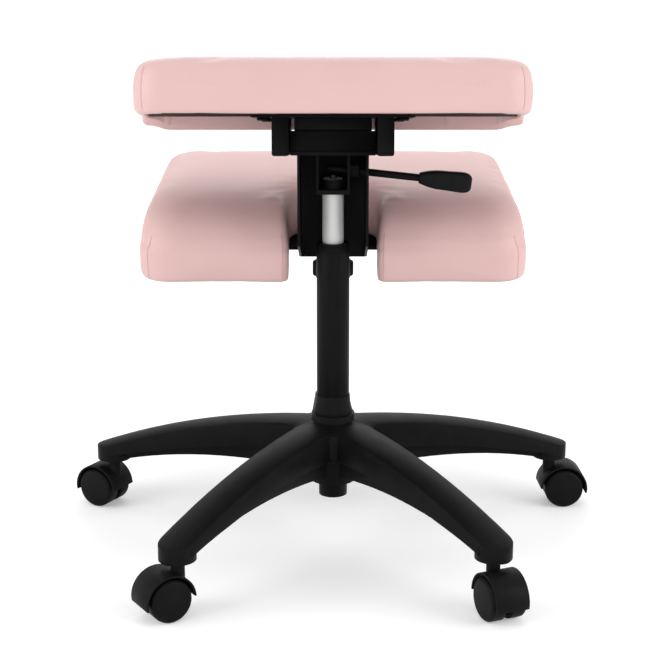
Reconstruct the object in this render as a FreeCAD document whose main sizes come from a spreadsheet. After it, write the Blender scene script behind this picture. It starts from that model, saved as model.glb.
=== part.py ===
import FreeCAD, Part
import math
import os
import re
import Sketcher

# Kneeling chair on a five-arm castor base.
# The origin is on the floor under the column, +Z is up and the sitter faces +Y,
# so the knee pad is at +Y and the seat reaches back towards -Y. Lengths are in
# millimetres and angles in degrees.

Vector = FreeCAD.Vector
doc = FreeCAD.newDocument("kneeling_chair")
sheet = doc.addObject("Spreadsheet::Sheet", "sizes")

DRIVING_SIZES = [
    ("arm_count", 5, "arms of the base"),
    ("base_turn", 18.7, "direction of the first arm"),
    ("stem_circle", 300, "radius of the circle of castor stems"),
    ("arm_root_height", 149, "crown of the arms at the hub"),
    ("arm_tip_height", 92, "crown of the arms over the stems"),
    ("arm_root_half", 29, "half width of an arm at the hub"),
    ("arm_tip_half", 21.5, "half width of an arm at its tip"),
    ("arm_root_depth", 39.5, "depth of an arm at the hub"),
    ("arm_tip_depth", 19, "depth of an arm at its tip"),
    ("keel_half", 8, "half width of the keel under an arm"),
    ("keel_root_depth", 73, "depth of the keel at the hub"),
    ("keel_tip_depth", 29.5, "depth of the keel at the tip"),
    ("keel_wall", 3, "wall of the hollow keel"),
    ("arm_ridge_drop", 4.5, "crown of an arm above its side ridges"),
    ("arm_flare", 1, "how far the side walls lean out"),
    ("arm_wall", 4, "wall of the hollow arms"),
    ("hub_radius", 52, "skirt of the hub"),
    ("hub_skirt_height", 30, "height of the hub skirt"),
    ("hub_slope", 7, "fall of the hub top to its skirt"),
    ("hub_core_radius", 28, "core of the hub round the column"),
    ("hub_bottom", 70, "underside of the hub core"),
    ("hub_rim_radius", 26.6, "raised rim round the column"),
    ("hub_rim_height", 8.5, "height of the raised rim"),
    ("boss_radius", 21.5, "boss that holds a castor"),
    ("boss_bottom", 65.5, "underside of the bosses"),
    ("socket_radius", 7, "outside of a castor socket"),
    ("socket_depth", 20, "length of a castor socket"),
    ("column_radius", 20, "outside of the column tube"),
    ("column_wall", 2.5, "wall of the column tube"),
    ("column_bottom", 50, "underside of the column tube"),
    ("taper_bottom_radius", 17.5, "small end of the column's taper"),
    ("taper_top_radius", 19.2, "large end of the column's taper"),
    ("taper_wall", 2.8, "wall of the column inside the hub"),
    ("column_floor", 4, "plate that closes the column"),
    ("collar_height", 24, "plastic collar on the hub"),
    ("collar_foot_radius", 23.8, "foot of the collar"),
    ("collar_waist_radius", 21.4, "waist of the collar"),
    ("collar_lip", 0.8, "wall of the collar at its top"),
    ("guide_length", 60, "bush in the top of the column"),
    ("guide_flange", 2, "flange of the bush"),
    ("lift_radius", 13, "outside of the gas cylinder"),
    ("lift_wall", 2, "wall of the gas cylinder"),
    ("lift_bottom", 150, "lower end of the gas cylinder"),
    ("lift_end_wall", 4, "end wall of the gas cylinder"),
    ("lift_neck_radius", 12.2, "small end of the cylinder's taper"),
    ("socket_tube_height", 16, "length of the taper in its socket"),
    ("running_gap", 0.05, "radial gap of a sliding or turning fit"),
    ("rod_radius", 5, "piston rod"),
    ("rod_end", 4.5, "piston rod below the column floor"),
    ("piston_height", 224, "underside of the piston"),
    ("piston_length", 12, "length of the piston"),
    ("rod_shoulder_radius", 8, "shoulder on the thrust bearing"),
    ("bearing_radius", 12, "outside of the thrust bearing"),
    ("race_height", 2.2, "one race of the thrust bearing"),
    ("cage_height", 3.2, "ball cage of the thrust bearing"),
    ("clip_height", 1.2, "retaining clip"),
    ("clip_radius", 9, "outside of the retaining clip"),
    ("valve_radius", 3, "valve pin"),
    ("valve_length", 22, "length of the valve pin"),
    ("valve_rise", 5, "valve pin above the cylinder"),
    ("bracket_drop", 77.1, "underside of the lift bracket below the board's front edge"),
    ("column_gap", 64, "top of the column below the lift bracket"),
    ("bracket_half", 20, "half width of the lift bracket"),
    ("bracket_reach", 22, "lift bracket before and behind the column"),
    ("bracket_plate", 3, "plate of the two brackets"),
    ("bracket_floor_plate", 5.5, "floor plate of the lift bracket"),
    ("channel_half", 42, "half width of the main bracket"),
    ("channel_rear", 41, "rear edge of the main bracket behind the column"),
    ("channel_front", 50, "web of the main bracket before the column"),
    ("channel_rise_rear", 22.5, "lower corner at the rear above the knee plate's edge"),
    ("channel_drop_front", 10.5, "lower corner at the front below the knee plate's edge"),
    ("channel_bend", 5, "bend radius of the main bracket"),
    ("tab_half", 19.5, "half width of the tab behind the sleeve"),
    ("tab_drop", 25, "lower edge of the tab below the knee plate's edge"),
    ("seat_tilt", 8.6, "fall of the seat towards the front"),
    ("seat_front", 91.7, "front edge of the seat board"),
    ("seat_front_height", 512.1, "underside of the board at its front edge"),
    ("seat_length", 290, "length of the seat board"),
    ("seat_rear_half", 199.5, "half width of the board at the rear"),
    ("seat_front_half", 228, "half width of the board at the front"),
    ("board_thickness", 12, "plywood boards"),
    ("board_corner", 24, "corner radius of the boards"),
    ("seat_plate_half", 95, "half width of the seat plate"),
    ("seat_plate_length", 165, "length of the seat plate"),
    ("seat_plate_sheet", 2.5, "sheet of the seat plate"),
    ("seat_screw_half", 80, "seat screws from the middle"),
    ("seat_screw_inset", 20, "seat screws from the plate's ends"),
    ("pan_half", 49.5, "half width of the seat pan"),
    ("pan_setback", 135, "rear face of the seat pan behind the board's front edge"),
    ("pan_length", 103, "length of the seat pan"),
    ("pan_height", 28.5, "height of the seat pan"),
    ("pan_sheet", 3, "sheet of the seat pan"),
    ("tray_half", 45, "half width of the spacer tray"),
    ("tray_height", 15.5, "height of the spacer tray"),
    ("tray_inset", 3, "spacer tray inside the pan's ends"),
    ("rail_width", 19.5, "width of a seat rail"),
    ("rail_height", 44.5, "height of a seat rail"),
    ("rail_setback", 156, "rear end of the seat rails behind the board's front edge"),
    ("rail_length", 136, "length of the seat rails"),
    ("rail_wall", 2, "wall of the seat rails"),
    ("rail_corner", 3, "corner radius of the seat rails"),
    ("cap_plate", 2.5, "plate of a rail's end cap"),
    ("cap_plug", 10, "plug of a rail's end cap"),
    ("rail_washer", 1.5, "washer between pan and rail"),
    ("washer_radius", 11, "washer between pan and rail"),
    ("bolt_radius", 4, "long bolts through the rails"),
    ("bolt_clearance", 0.2, "radial gap of a bolt in its hole"),
    ("bolt_depth", 31.5, "long bolts under the board"),
    ("bolt_setback", 120, "rear long bolt behind the board's front edge"),
    ("bolt_spacing", 68, "from the rear to the front long bolt"),
    ("bolt_head", 5.3, "height of a bolt head"),
    ("bolt_flats", 13, "width across flats of heads and nuts"),
    ("nut_height", 6.5, "height of a nut"),
    ("access_radius", 9, "hole in a rail's outer wall for a socket wrench"),
    ("screw_radius", 3, "wood screws"),
    ("screw_length", 13, "wood screws under the head"),
    ("screw_head_radius", 8, "mushroom head of a screw"),
    ("screw_head_height", 4, "mushroom head of a screw"),
    ("seat_pad_thickness", 61, "seat pad over the board's underside"),
    ("knee_pad_thickness", 62.5, "knee pad over the board's underside"),
    ("pad_corner_over", 10, "corner radius of the seat pad beyond the board's"),
    ("knee_corner_over", 16, "corner radius of the knee pad beyond the board's"),
    ("seat_pad_over", 11.5, "seat pad beyond its board at the sides"),
    ("seat_pad_rear_over", 6, "seat pad beyond its board at the rear"),
    ("seat_pad_front_over", 44, "seat pad beyond its board at the front"),
    ("seat_roll_drop", 16.5, "front roll of the seat below the board"),
    ("knee_tilt", 8, "rise of the knee pad towards the front"),
    ("knee_plate_y", 59, "rear edge of the knee plate"),
    ("knee_drop", 158.1, "knee plate's rear edge below the seat board's front edge"),
    ("knee_plate_half", 75, "half width of the knee plate"),
    ("knee_plate_length", 150, "length of the knee plate"),
    ("knee_plate_sheet", 4, "sheet of the knee plate"),
    ("knee_board_rear", 10, "knee board behind the plate's rear edge"),
    ("knee_board_length", 224, "length of the knee board"),
    ("knee_rear_half", 223, "half width of the knee board at the rear"),
    ("knee_front_half", 210, "half width of the knee board at the front"),
    ("knee_pad_over", 12, "knee pad beyond its board"),
    ("knee_pad_rear_over", 45, "knee pad beyond its board at the rear"),
    ("knee_roll_drop", 25, "rear roll of the knee pad below the board"),
    ("notch_half", 55, "half width of the notch in the knee pad"),
    ("notch_depth", 117, "notch from the knee pad's rear edge"),
    ("notch_mouth", 6, "corner radius at the mouth of the notch"),
    ("notch_board_gap", 9, "board cut back from the notch in the pad"),
    ("knee_screw_half", 58, "knee screws from the middle"),
    ("knee_screw_first", 92, "rear row of knee screws"),
    ("knee_screw_spacing", 42, "from the rear to the front row of knee screws"),
    ("sleeve_half", 17, "half width of the knee sleeve"),
    ("sleeve_height", 14, "height of the knee sleeve"),
    ("sleeve_wall", 3, "wall of the knee sleeve"),
    ("sleeve_end", 70, "front end of the knee sleeve"),
    ("sleeve_gap", 0.6, "gap between the sleeve and the knee plate"),
    ("slide_gap", 0.1, "gap of the knee arm in its sleeve"),
    ("arm_bar_start", -6, "rear end of the knee arm"),
    ("arm_block_start", 118, "raised block of the knee arm"),
    ("knob_y", 16, "clamp knob from the knee plate's rear edge"),
    ("knob_radius", 25.8, "clamp knob"),
    ("knob_height", 17.5, "clamp knob"),
    ("knob_edge", 1.5, "chamfered edges of the clamp knob"),
    ("knob_lobe_depth", 3, "finger dents of the clamp knob"),
    ("knob_lobes", 8, "finger dents of the clamp knob"),
    ("knob_gap", 0.6, "gap between the knob and the weld nut"),
    ("stud_radius", 4, "clamp stud"),
    ("weld_nut_radius", 9, "nut under the knee sleeve"),
    ("weld_nut_height", 6, "nut under the knee sleeve"),
    ("lever_rise", 28, "lever's axis over the lift bracket's underside"),
    ("lever_droop", 6.3, "fall of the lever towards its grip"),
    ("lever_radius", 4.4, "lever rod"),
    ("lever_pivot", 25, "lever pivot from the column's axis"),
    ("lever_inner", -8, "inner end of the lever from the column's axis"),
    ("lever_outer", 122, "end of the rod inside the grip"),
    ("lever_pin_radius", 3, "lever pivot pin"),
    ("ear_plate", 3, "ears that hold the lever pin"),
    ("ear_length", 11, "ears beyond the lift bracket"),
    ("ear_gap", 1.2, "gap between the lever and an ear"),
    ("grip_start", 103, "inner end of the grip"),
    ("grip_length", 63, "length of the grip"),
    ("grip_half", 12.2, "half height of the grip at its widest"),
    ("grip_thickness", 13, "thickness of the grip"),
    ("caster_trail", 18, "axle behind the stem"),
    ("wheel_radius", 25, "castor wheel"),
    ("wheel_gap_half", 4, "from the castor's middle to a wheel's rim"),
    ("wheel_outer", 22.5, "from the castor's middle to a wheel's face"),
    ("wheel_rim", 4, "rim of a wheel"),
    ("wheel_disc", 3.5, "disc of a wheel"),
    ("wheel_edge", 3, "rounded edge of a wheel"),
    ("wheel_hub_radius", 6, "hub of a wheel"),
    ("axle_radius", 3, "castor axle"),
    ("hood_radius", 30.5, "hood over the wheels"),
    ("hood_wall", 2, "wall of the hood"),
    ("hood_half", 20.5, "half width of the hood"),
    ("hood_web", 6, "web between the wheels"),
    ("hood_front_rise", 1, "front lip of the hood above the axle"),
    ("hood_rear_fall", 11, "angle of the hood's rear lip below the axle"),
    ("hood_neck_radius", 8, "neck round the stem"),
    ("hood_neck_top", 64.9, "top of the neck"),
    ("stem_radius", 5.5, "castor stem"),
    ("stem_bottom", 48.5, "lower end of the stem"),
    ("stem_length", 35, "length of the stem"),
]

# Sizes that follow from those above: the frame stays at the board's front edge when
# the seat's length changes, and all that hangs from the seat moves with its height.
FOLLOWING_SIZES = [
    ("seat_rear", "=seat_front - seat_length * cos(seat_tilt)", "rear edge of the seat board"),
    ("seat_height", "=seat_front_height + seat_length * sin(seat_tilt)",
     "underside of the board at its rear edge"),
    ("seat_plate_start", "=seat_length - seat_plate_length", "rear edge of the seat plate"),
    ("pan_start", "=seat_length - pan_setback", "rear face of the seat pan"),
    ("rail_start", "=seat_length - rail_setback", "rear end of the seat rails"),
    ("bolt_first", "=seat_length - bolt_setback", "rear long bolt"),
    ("bracket_floor", "=seat_front_height - bracket_drop", "underside of the lift bracket"),
    ("column_top", "=bracket_floor - column_gap", "top of the column tube"),
    ("lever_height", "=bracket_floor + lever_rise", "lever's axis over the valve"),
    ("knee_height", "=seat_front_height - knee_drop", "top of the knee plate's rear edge"),
    ("channel_low_rear", "=knee_height + channel_rise_rear", "channel's lower rear corner"),
    ("channel_low_front", "=knee_height - channel_drop_front", "channel's lower front corner"),
    ("tab_low", "=knee_height - tab_drop", "lower edge of the tab"),
]
ALL_SIZES = DRIVING_SIZES + FOLLOWING_SIZES

for row, (alias, value, note) in enumerate(ALL_SIZES, start=1):
    sheet.set("A%d" % row, note)
    sheet.set("B%d" % row, str(value))
    sheet.setAlias("B%d" % row, alias)
doc.recompute()

pieces = []
ALIASES = {alias for alias, value, note in ALL_SIZES}


def named(expression):
    """Put the sheet's name before each of its aliases in an expression."""
    return re.sub("[a-z_]+", lambda word: (
        "sizes." + word.group() if word.group() in ALIASES else word.group()), expression)


def size(expression):
    """Value of an expression of the driving sizes."""
    result = sheet.evalExpression(named(expression))
    return float(getattr(result, "Value", result))


def body(label, x="0", y="0", z="0", turn="0", axis=(0, 0, 1)):
    """An empty body whose frame stands at x, y, z, turned about one axis."""
    made = doc.addObject("PartDesign::Body", label)
    made.Label = label
    made.Placement = FreeCAD.Placement(Vector(), FreeCAD.Rotation(Vector(*axis), 1.0))
    made.setExpression("Placement.Base.x", named(x))
    made.setExpression("Placement.Base.y", named(y))
    made.setExpression("Placement.Base.z", named(z))
    made.setExpression("Placement.Rotation.Angle", named(turn))
    pieces.append(made)
    return made


def seat_body(label):
    """A body in the seat's frame: the board's underside, from its rear edge forward."""
    return body(label, y="seat_rear", z="seat_height", turn="0 - seat_tilt", axis=(1, 0, 0))


def knee_body(label):
    """A body in the knee pad's frame: the knee plate's top, from its rear edge forward."""
    return body(label, y="knee_plate_y", z="knee_height", turn="knee_tilt", axis=(1, 0, 0))


def sketch(owner, plane, offset="0"):
    """An empty sketch on an origin plane of its body."""
    drawn = owner.newObject("Sketcher::SketchObject", "sketch")
    support = next(item for item in owner.Origin.OriginFeatures if item.Role == plane)
    drawn.AttachmentSupport = [(support, "")]
    drawn.MapMode = "FlatFace"
    drawn.setExpression("AttachmentOffset.Base.z", named(offset))
    return drawn


def pin_point(drawn, geometry, end, x, y):
    """Hold one point of a sketch at the place that two expressions give."""
    for kind, text, axis in (("DistanceX", x, -2), ("DistanceY", y, -1)):
        if text == "0":
            drawn.addConstraint(Sketcher.Constraint("PointOnObject", geometry, end, axis))
        else:
            index = drawn.addConstraint(
                Sketcher.Constraint(kind, -1, 1, geometry, end, size(text)))
            drawn.setExpression("Constraints[%d]" % index, named(text))


def outline(drawn, corners):
    """Closed outline. A third value is the radius of the arc that leaves the corner:
    its centre is on the left of the way round, or on the right when the value starts
    with a minus sign."""
    points = [Vector(size(corner[0]), size(corner[1]), 0) for corner in corners]
    ends = []
    for index, corner in enumerate(corners):
        start, stop = points[index], points[(index + 1) % len(points)]
        if len(corner) == 2:
            geometry = drawn.addGeometry(Part.LineSegment(start, stop), False)
            ends.append((geometry, 1, 2))
            continue
        left = not corner[2].startswith("-")
        text = corner[2] if left else corner[2][1:].strip()
        radius = size(text)
        chord = stop - start
        normal = Vector(-chord.y, chord.x, 0).normalize()
        rise = math.sqrt(max(radius ** 2 - chord.Length ** 2 / 4, 0))
        centre = (start + stop) * 0.5 + normal * (rise if left else -rise)
        first, last = (start, stop) if left else (stop, start)
        angles = [math.atan2(point.y - centre.y, point.x - centre.x) for point in (first, last)]
        circle = Part.Circle(centre, Vector(0, 0, 1), radius)
        arc = Part.ArcOfCircle(circle, angles[0], angles[1])
        geometry = drawn.addGeometry(arc, False)
        ends.append((geometry, 1, 2) if left else (geometry, 2, 1))
        held = drawn.addConstraint(Sketcher.Constraint("Radius", geometry, radius))
        drawn.setExpression("Constraints[%d]" % held, named(text))
    for index, corner in enumerate(corners):
        geometry, first, last = ends[index]
        before, before_first, before_last = ends[index - 1]
        drawn.addConstraint(Sketcher.Constraint("Coincident", before, before_last, geometry, first))
        pin_point(drawn, geometry, first, corner[0], corner[1])
    return drawn


def ring(drawn, radius, x="0", y="0"):
    """Circle of a given radius about a point of the sketch."""
    centre = Vector(size(x), size(y), 0)
    geometry = drawn.addGeometry(Part.Circle(centre, Vector(0, 0, 1), size(radius)), False)
    held = drawn.addConstraint(Sketcher.Constraint("Radius", geometry, size(radius)))
    drawn.setExpression("Constraints[%d]" % held, named(radius))
    pin_point(drawn, geometry, 3, x, y)
    return drawn


def rectangle(drawn, left, right, low, high):
    """Rectangle between two abscissas and two ordinates."""
    return outline(drawn, [(left, low), (right, low), (right, high), (left, high)])


def pad(owner, drawn, length, symmetric=False, reverse=False):
    """Thicken a sketch along its normal."""
    made = owner.newObject("PartDesign::Pad", "pad")
    made.Profile = drawn
    made.SideType = "Symmetric" if symmetric else "One side"
    made.Reversed = reverse
    made.setExpression("Length", named(length))
    return made


def pocket(owner, drawn, length, symmetric=False, reverse=False):
    """Cut a sketch's outline out of the solid, against its normal."""
    made = owner.newObject("PartDesign::Pocket", "pocket")
    made.Profile = drawn
    made.SideType = "Symmetric" if symmetric else "One side"
    made.Reversed = reverse
    made.setExpression("Length", named(length))
    return made


def turn(owner, drawn, axis="V_Axis", cut=False):
    """Turn a sketch about one of its axes, as solid or as a cut."""
    made = owner.newObject("PartDesign::Groove" if cut else "PartDesign::Revolution", "turned")
    made.Profile = drawn
    made.ReferenceAxis = (drawn, [axis])
    made.Angle = 360
    return made


def turned(label, corners, **frame):
    """A piece turned about the vertical axis of its frame, from radius and height."""
    made = body(label, **frame)
    turn(made, outline(sketch(made, "XZ_Plane"), corners))
    return made


def around(owner, features, count):
    """Repeat features about the vertical axis of the body."""
    made = owner.newObject("PartDesign::PolarPattern", "around")
    made.Originals = features
    made.Axis = (next(item for item in owner.Origin.OriginFeatures if item.Role == "Z_Axis"), [""])
    made.Angle = 360
    made.setExpression("Occurrences", named(count))
    owner.Tip = made
    return made


def fillet(owner, radius, chosen):
    """Round the edges of the body that a test of their two ends picks."""
    doc.recompute()
    base = owner.Tip
    names = []
    for number, edge in enumerate(base.Shape.Edges, start=1):
        ends = [vertex.Point for vertex in edge.Vertexes]
        if len(ends) == 2 and chosen(ends[0], ends[1]):
            names.append("Edge%d" % number)
    made = owner.newObject("PartDesign::Fillet", "fillet")
    made.Base = (base, names)
    made.setExpression("Radius", named(radius))
    return made


def hexagon(drawn, flats, x="0", y="0"):
    """Regular hexagon by its width across flats, about a point."""
    corners = []
    for step in range(6):
        reach = "%s / ( 2 * cos( 30 ) )" % flats
        corners.append(("%s + %s * cos( %d )" % (x, reach, 60 * step),
                        "%s + %s * sin( %d )" % (y, reach, 60 * step)))
    return outline(drawn, corners)


# Star base: a moulded hub with hollow arms, each crowned on top and open below,
# with cross ribs inside, a deeper hollow keel along its middle and a boss for the
# castor at its tip.

def arm_crown(share):
    return "( arm_root_height - ( arm_root_height - arm_tip_height ) * %g )" % share ** 2


def arm_half(share):
    fall = max(1 - share, 0) ** 3
    return "( arm_tip_half + ( arm_root_half - arm_tip_half ) * %.4f )" % fall


def arm_low(share):
    fall = max(1 - share, 0) ** 0.75
    return "( %s - arm_tip_depth - ( arm_root_depth - arm_tip_depth ) * %.4f )" % (
        arm_crown(share), fall)


def keel_low(share):
    fall = max(1 - share, 0) ** 1.2
    return "( %s - keel_tip_depth - ( keel_root_depth - keel_tip_depth ) * %.4f )" % (
        arm_crown(share), fall)


def arm_section(owner, share):
    half, crown, low = arm_half(share), arm_crown(share), arm_low(share)
    shoulder = "%s - arm_ridge_drop" % crown
    bend = "( %s ^ 2 + arm_ridge_drop ^ 2 ) / ( 2 * arm_ridge_drop )" % half
    return outline(sketch(owner, "YZ_Plane", "stem_circle * %g" % share), [
        ("0 - %s - arm_flare" % half, low), ("%s + arm_flare" % half, low),
        (half, shoulder, bend), ("0 - %s" % half, shoulder)])


def upright_section(owner, share, half, low):
    """Rectangle across an arm, from a lower edge up to the roof of the cells."""
    roof = "%s - arm_ridge_drop - arm_wall" % arm_crown(share)
    return outline(sketch(owner, "YZ_Plane", "stem_circle * %g" % share), [
        ("0 - %s" % half, low), (half, low), (half, roof), ("0 - %s" % half, roof)])


def arm_cell(share):
    return "( %s - arm_wall )" % arm_half(share), "%s - arm_wall" % arm_low(share)


def keel_cell(share):
    return "( keel_half - keel_wall )", "%s - keel_wall" % keel_low(share)


def cells(owner, size_at):
    """Hollows between the cross ribs; size_at gives half width and lower edge."""
    made = []
    for span in ARM_CELLS:
        sections = [upright_section(owner, share, *size_at(share)) for share in span]
        cell = owner.newObject("PartDesign::SubtractiveLoft", "cell")
        cell.Profile = sections[0]
        cell.Sections = sections[1:]
        made.append(cell)
    return made


ARM_STATIONS = (0.08, 0.3, 0.55, 0.8, 1.0, 1.09)
KEEL_STATIONS = (0.08, 0.3, 0.5, 0.7, 0.94)
ARM_CELLS = ((0.21, 0.36), (0.375, 0.54), (0.555, 0.72), (0.735, 0.87))

base = body("star_base", turn="base_turn")
hub_shoulder = "arm_root_height - hub_slope"
turn(base, outline(sketch(base, "XZ_Plane"), [
    ("0", "hub_bottom"), ("hub_core_radius", "hub_bottom"),
    ("hub_core_radius", "%s - hub_skirt_height" % hub_shoulder),
    ("hub_radius", "%s - hub_skirt_height" % hub_shoulder),
    ("hub_radius", hub_shoulder), ("hub_rim_radius", "arm_root_height"),
    ("hub_rim_radius", "arm_root_height + hub_rim_height"),
    ("0", "arm_root_height + hub_rim_height")]))

arm_features = []
arm = base.newObject("PartDesign::AdditiveLoft", "arm")
arm_sketches = [arm_section(base, share) for share in ARM_STATIONS]
arm.Profile = arm_sketches[0]
arm.Sections = arm_sketches[1:]
arm_features.append(arm)
arm_features += cells(base, arm_cell)
keel = base.newObject("PartDesign::AdditiveLoft", "keel")
keel_sketches = [upright_section(base, share, "keel_half", keel_low(share))
                 for share in KEEL_STATIONS]
keel.Profile = keel_sketches[0]
keel.Sections = keel_sketches[1:]
arm_features.append(keel)
arm_features += cells(base, keel_cell)
TIP_MARGIN = "( boss_radius + 10 )"
tip_trim = outline(sketch(base, "XY_Plane"), [
    ("stem_circle", "0 - boss_radius", "boss_radius"),
    ("stem_circle + boss_radius", "0", "boss_radius"), ("stem_circle", "boss_radius"),
    ("stem_circle", TIP_MARGIN), ("stem_circle + %s" % TIP_MARGIN, TIP_MARGIN),
    ("stem_circle + %s" % TIP_MARGIN, "0 - %s" % TIP_MARGIN),
    ("stem_circle", "0 - %s" % TIP_MARGIN)])
arm_features.append(pocket(base, tip_trim, "arm_root_height", reverse=True))
boss_sketch = ring(sketch(base, "XY_Plane", "boss_bottom"), "boss_radius", x="stem_circle")
arm_features.append(pad(base, boss_sketch,
                        "arm_tip_height - arm_tip_depth + arm_wall - boss_bottom"))
hole_sketch = ring(sketch(base, "XY_Plane", "boss_bottom"), "socket_radius", x="stem_circle")
arm_features.append(pocket(base, hole_sketch, "socket_depth", reverse=True))
around(base, arm_features, "arm_count")
RIM_TOP = "( arm_root_height + hub_rim_height )"
TAPER_AT_HUB = ("( taper_bottom_radius + ( taper_top_radius - taper_bottom_radius ) * "
                "( hub_bottom - column_bottom ) / ( %s - column_bottom ) )" % RIM_TOP)
turn(base, outline(sketch(base, "XZ_Plane"), [
    ("0", "hub_bottom"), (TAPER_AT_HUB, "hub_bottom"),
    ("taper_top_radius", RIM_TOP), ("0", RIM_TOP)]), cut=True)

sockets = body("caster_sockets", turn="base_turn")
socket_wall = ring(sketch(sockets, "XY_Plane", "boss_bottom"), "socket_radius", x="stem_circle")
ring(socket_wall, "stem_radius + running_gap", x="stem_circle")
around(sockets, [pad(sockets, socket_wall, "socket_depth")], "arm_count")

# Column: a steel tube with a taper held in the hub, closed below by a floor
# plate that carries the thrust bearing and the piston rod.

INNER = "( column_radius - column_wall )"
turned("column_tube", [
    ("rod_radius + 0.3", "column_bottom"), ("taper_bottom_radius", "column_bottom"),
    ("taper_top_radius", RIM_TOP), ("column_radius", RIM_TOP),
    ("column_radius", "column_top"), (INNER, "column_top"), (INNER, RIM_TOP),
    ("taper_bottom_radius - taper_wall", "%s - column_wall * 4" % RIM_TOP),
    ("taper_bottom_radius - taper_wall", "column_bottom + column_floor"),
    ("rod_radius + 0.3", "column_bottom + column_floor")])
turned("column_collar", [
    ("column_radius", RIM_TOP), ("collar_foot_radius", RIM_TOP),
    ("collar_foot_radius - 0.4", "%s + collar_height * 0.22" % RIM_TOP),
    ("collar_waist_radius", "%s + collar_height * 0.6" % RIM_TOP),
    ("column_radius + collar_lip", "%s + collar_height" % RIM_TOP),
    ("column_radius", "%s + collar_height" % RIM_TOP)])
turned("column_guide", [
    ("lift_radius + running_gap", "column_top - guide_length"),
    (INNER, "column_top - guide_length"), (INNER, "column_top"),
    ("column_radius - 1", "column_top"), ("column_radius - 1", "column_top + guide_flange"),
    ("lift_radius + running_gap", "column_top + guide_flange")])

RACE_BOTTOM = "( column_bottom + column_floor )"
BEARING_TOP = "( %s + 2 * race_height + cage_height )" % RACE_BOTTOM
bearing = body("thrust_bearing")
races = sketch(bearing, "XZ_Plane")
rectangle(races, "rod_radius + 0.5", "bearing_radius", RACE_BOTTOM,
          "%s + race_height" % RACE_BOTTOM)
rectangle(races, "rod_radius + 0.5", "bearing_radius",
          "%s + race_height + cage_height" % RACE_BOTTOM, BEARING_TOP)
rectangle(races, "rod_radius + 1.5", "bearing_radius - 1",
          "%s + race_height + 0.1" % RACE_BOTTOM,
          "%s + race_height + cage_height - 0.1" % RACE_BOTTOM)
turn(bearing, races)

turned("piston_rod", [
    ("0", "column_bottom - rod_end"), ("rod_radius", "column_bottom - rod_end"),
    ("rod_radius", BEARING_TOP), ("rod_shoulder_radius", BEARING_TOP),
    ("rod_shoulder_radius", "%s + 3" % BEARING_TOP), ("rod_radius", "%s + 4" % BEARING_TOP),
    ("rod_radius", "piston_height"), ("lift_radius - lift_wall - 0.1", "piston_height"),
    ("lift_radius - lift_wall - 0.1", "piston_height + piston_length"),
    ("0", "piston_height + piston_length")])
turned("retaining_clip", [
    ("rod_radius", "column_bottom - clip_height - 0.3"),
    ("clip_radius", "column_bottom - clip_height - 0.3"),
    ("clip_radius", "column_bottom - 0.3"), ("rod_radius", "column_bottom - 0.3")])

# Gas cylinder: slides and turns in the column's bush, with a taper at the top
# for the lift bracket and the valve pin in its head.

LIFT_TOP = "( bracket_floor + socket_tube_height )"
LIFT_BORE = "( lift_radius - lift_wall )"
turned("lift_cylinder", [
    ("rod_radius + running_gap", "lift_bottom"), ("lift_radius", "lift_bottom"),
    ("lift_radius", "bracket_floor"), ("lift_neck_radius", LIFT_TOP),
    ("valve_radius + running_gap", LIFT_TOP),
    ("valve_radius + running_gap", "bracket_floor - lift_end_wall - 2"),
    (LIFT_BORE, "bracket_floor - lift_end_wall - 2"),
    (LIFT_BORE, "lift_bottom + lift_end_wall"),
    ("rod_radius + running_gap", "lift_bottom + lift_end_wall")])
turned("valve_pin", [
    ("0", "%s + valve_rise - valve_length" % LIFT_TOP),
    ("valve_radius", "%s + valve_rise - valve_length" % LIFT_TOP),
    ("valve_radius", "%s + valve_rise - 1" % LIFT_TOP),
    ("valve_radius - 1", "%s + valve_rise" % LIFT_TOP),
    ("0", "%s + valve_rise" % LIFT_TOP)])

# Planes of the seat and of the knee pad, seen in the upright frame.

PAN_ROOF = "( tray_height + seat_plate_sheet + pan_sheet )"


def seat_level(y, depth):
    """Height, at a place y, of the plane that lies a depth under the seat board."""
    return "( seat_height - ( %s - seat_rear ) * tan( seat_tilt ) - %s / cos( seat_tilt ) )" % (
        y, depth)


def seat_point(along, depth):
    """Upright place of a point given along and under the seat board."""
    return ("( seat_rear + %s * cos( seat_tilt ) - %s * sin( seat_tilt ) )" % (along, depth),
            "( seat_height - %s * sin( seat_tilt ) - %s * cos( seat_tilt ) )" % (along, depth))


# Lift bracket: a folded plate with a tapered socket for the gas cylinder, a slot
# for the lever and two ears for the lever's pin.

lift_bracket = body("lift_bracket")
REACH = "bracket_reach"
pad(lift_bracket, outline(sketch(lift_bracket, "YZ_Plane"), [
    ("0 - bracket_reach", "bracket_floor"), (REACH, "bracket_floor"),
    (REACH, seat_level("bracket_reach", PAN_ROOF)),
    ("0 - bracket_reach", seat_level("( 0 - bracket_reach )", PAN_ROOF))]),
    "2 * bracket_half", symmetric=True)
FLOOR_TOP = "( bracket_floor + bracket_floor_plate )"
pocket(lift_bracket, rectangle(sketch(lift_bracket, "YZ_Plane"),
                               "0 - bracket_reach - 5", "bracket_reach + 5",
                               FLOOR_TOP, "%s + 150" % FLOOR_TOP),
       "2 * ( bracket_half - bracket_plate )", symmetric=True)
turn(lift_bracket, rectangle(sketch(lift_bracket, "XZ_Plane"),
                             "0", "lift_radius + bracket_plate", "bracket_floor", LIFT_TOP))
turn(lift_bracket, outline(sketch(lift_bracket, "XZ_Plane"), [
    ("0", "bracket_floor"), ("lift_radius", "bracket_floor"),
    ("lift_neck_radius", LIFT_TOP), ("0", LIFT_TOP)]), cut=True)
PIVOT_HEIGHT = "( lever_height - lever_pivot * tan( lever_droop ) )"
EAR_HALF = "( lever_radius + ear_gap )"
EAR_LOW = "( %s - lever_radius * 1.8 )" % PIVOT_HEIGHT
EAR_HIGH = "( %s + lever_radius * 1.8 )" % PIVOT_HEIGHT
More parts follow.
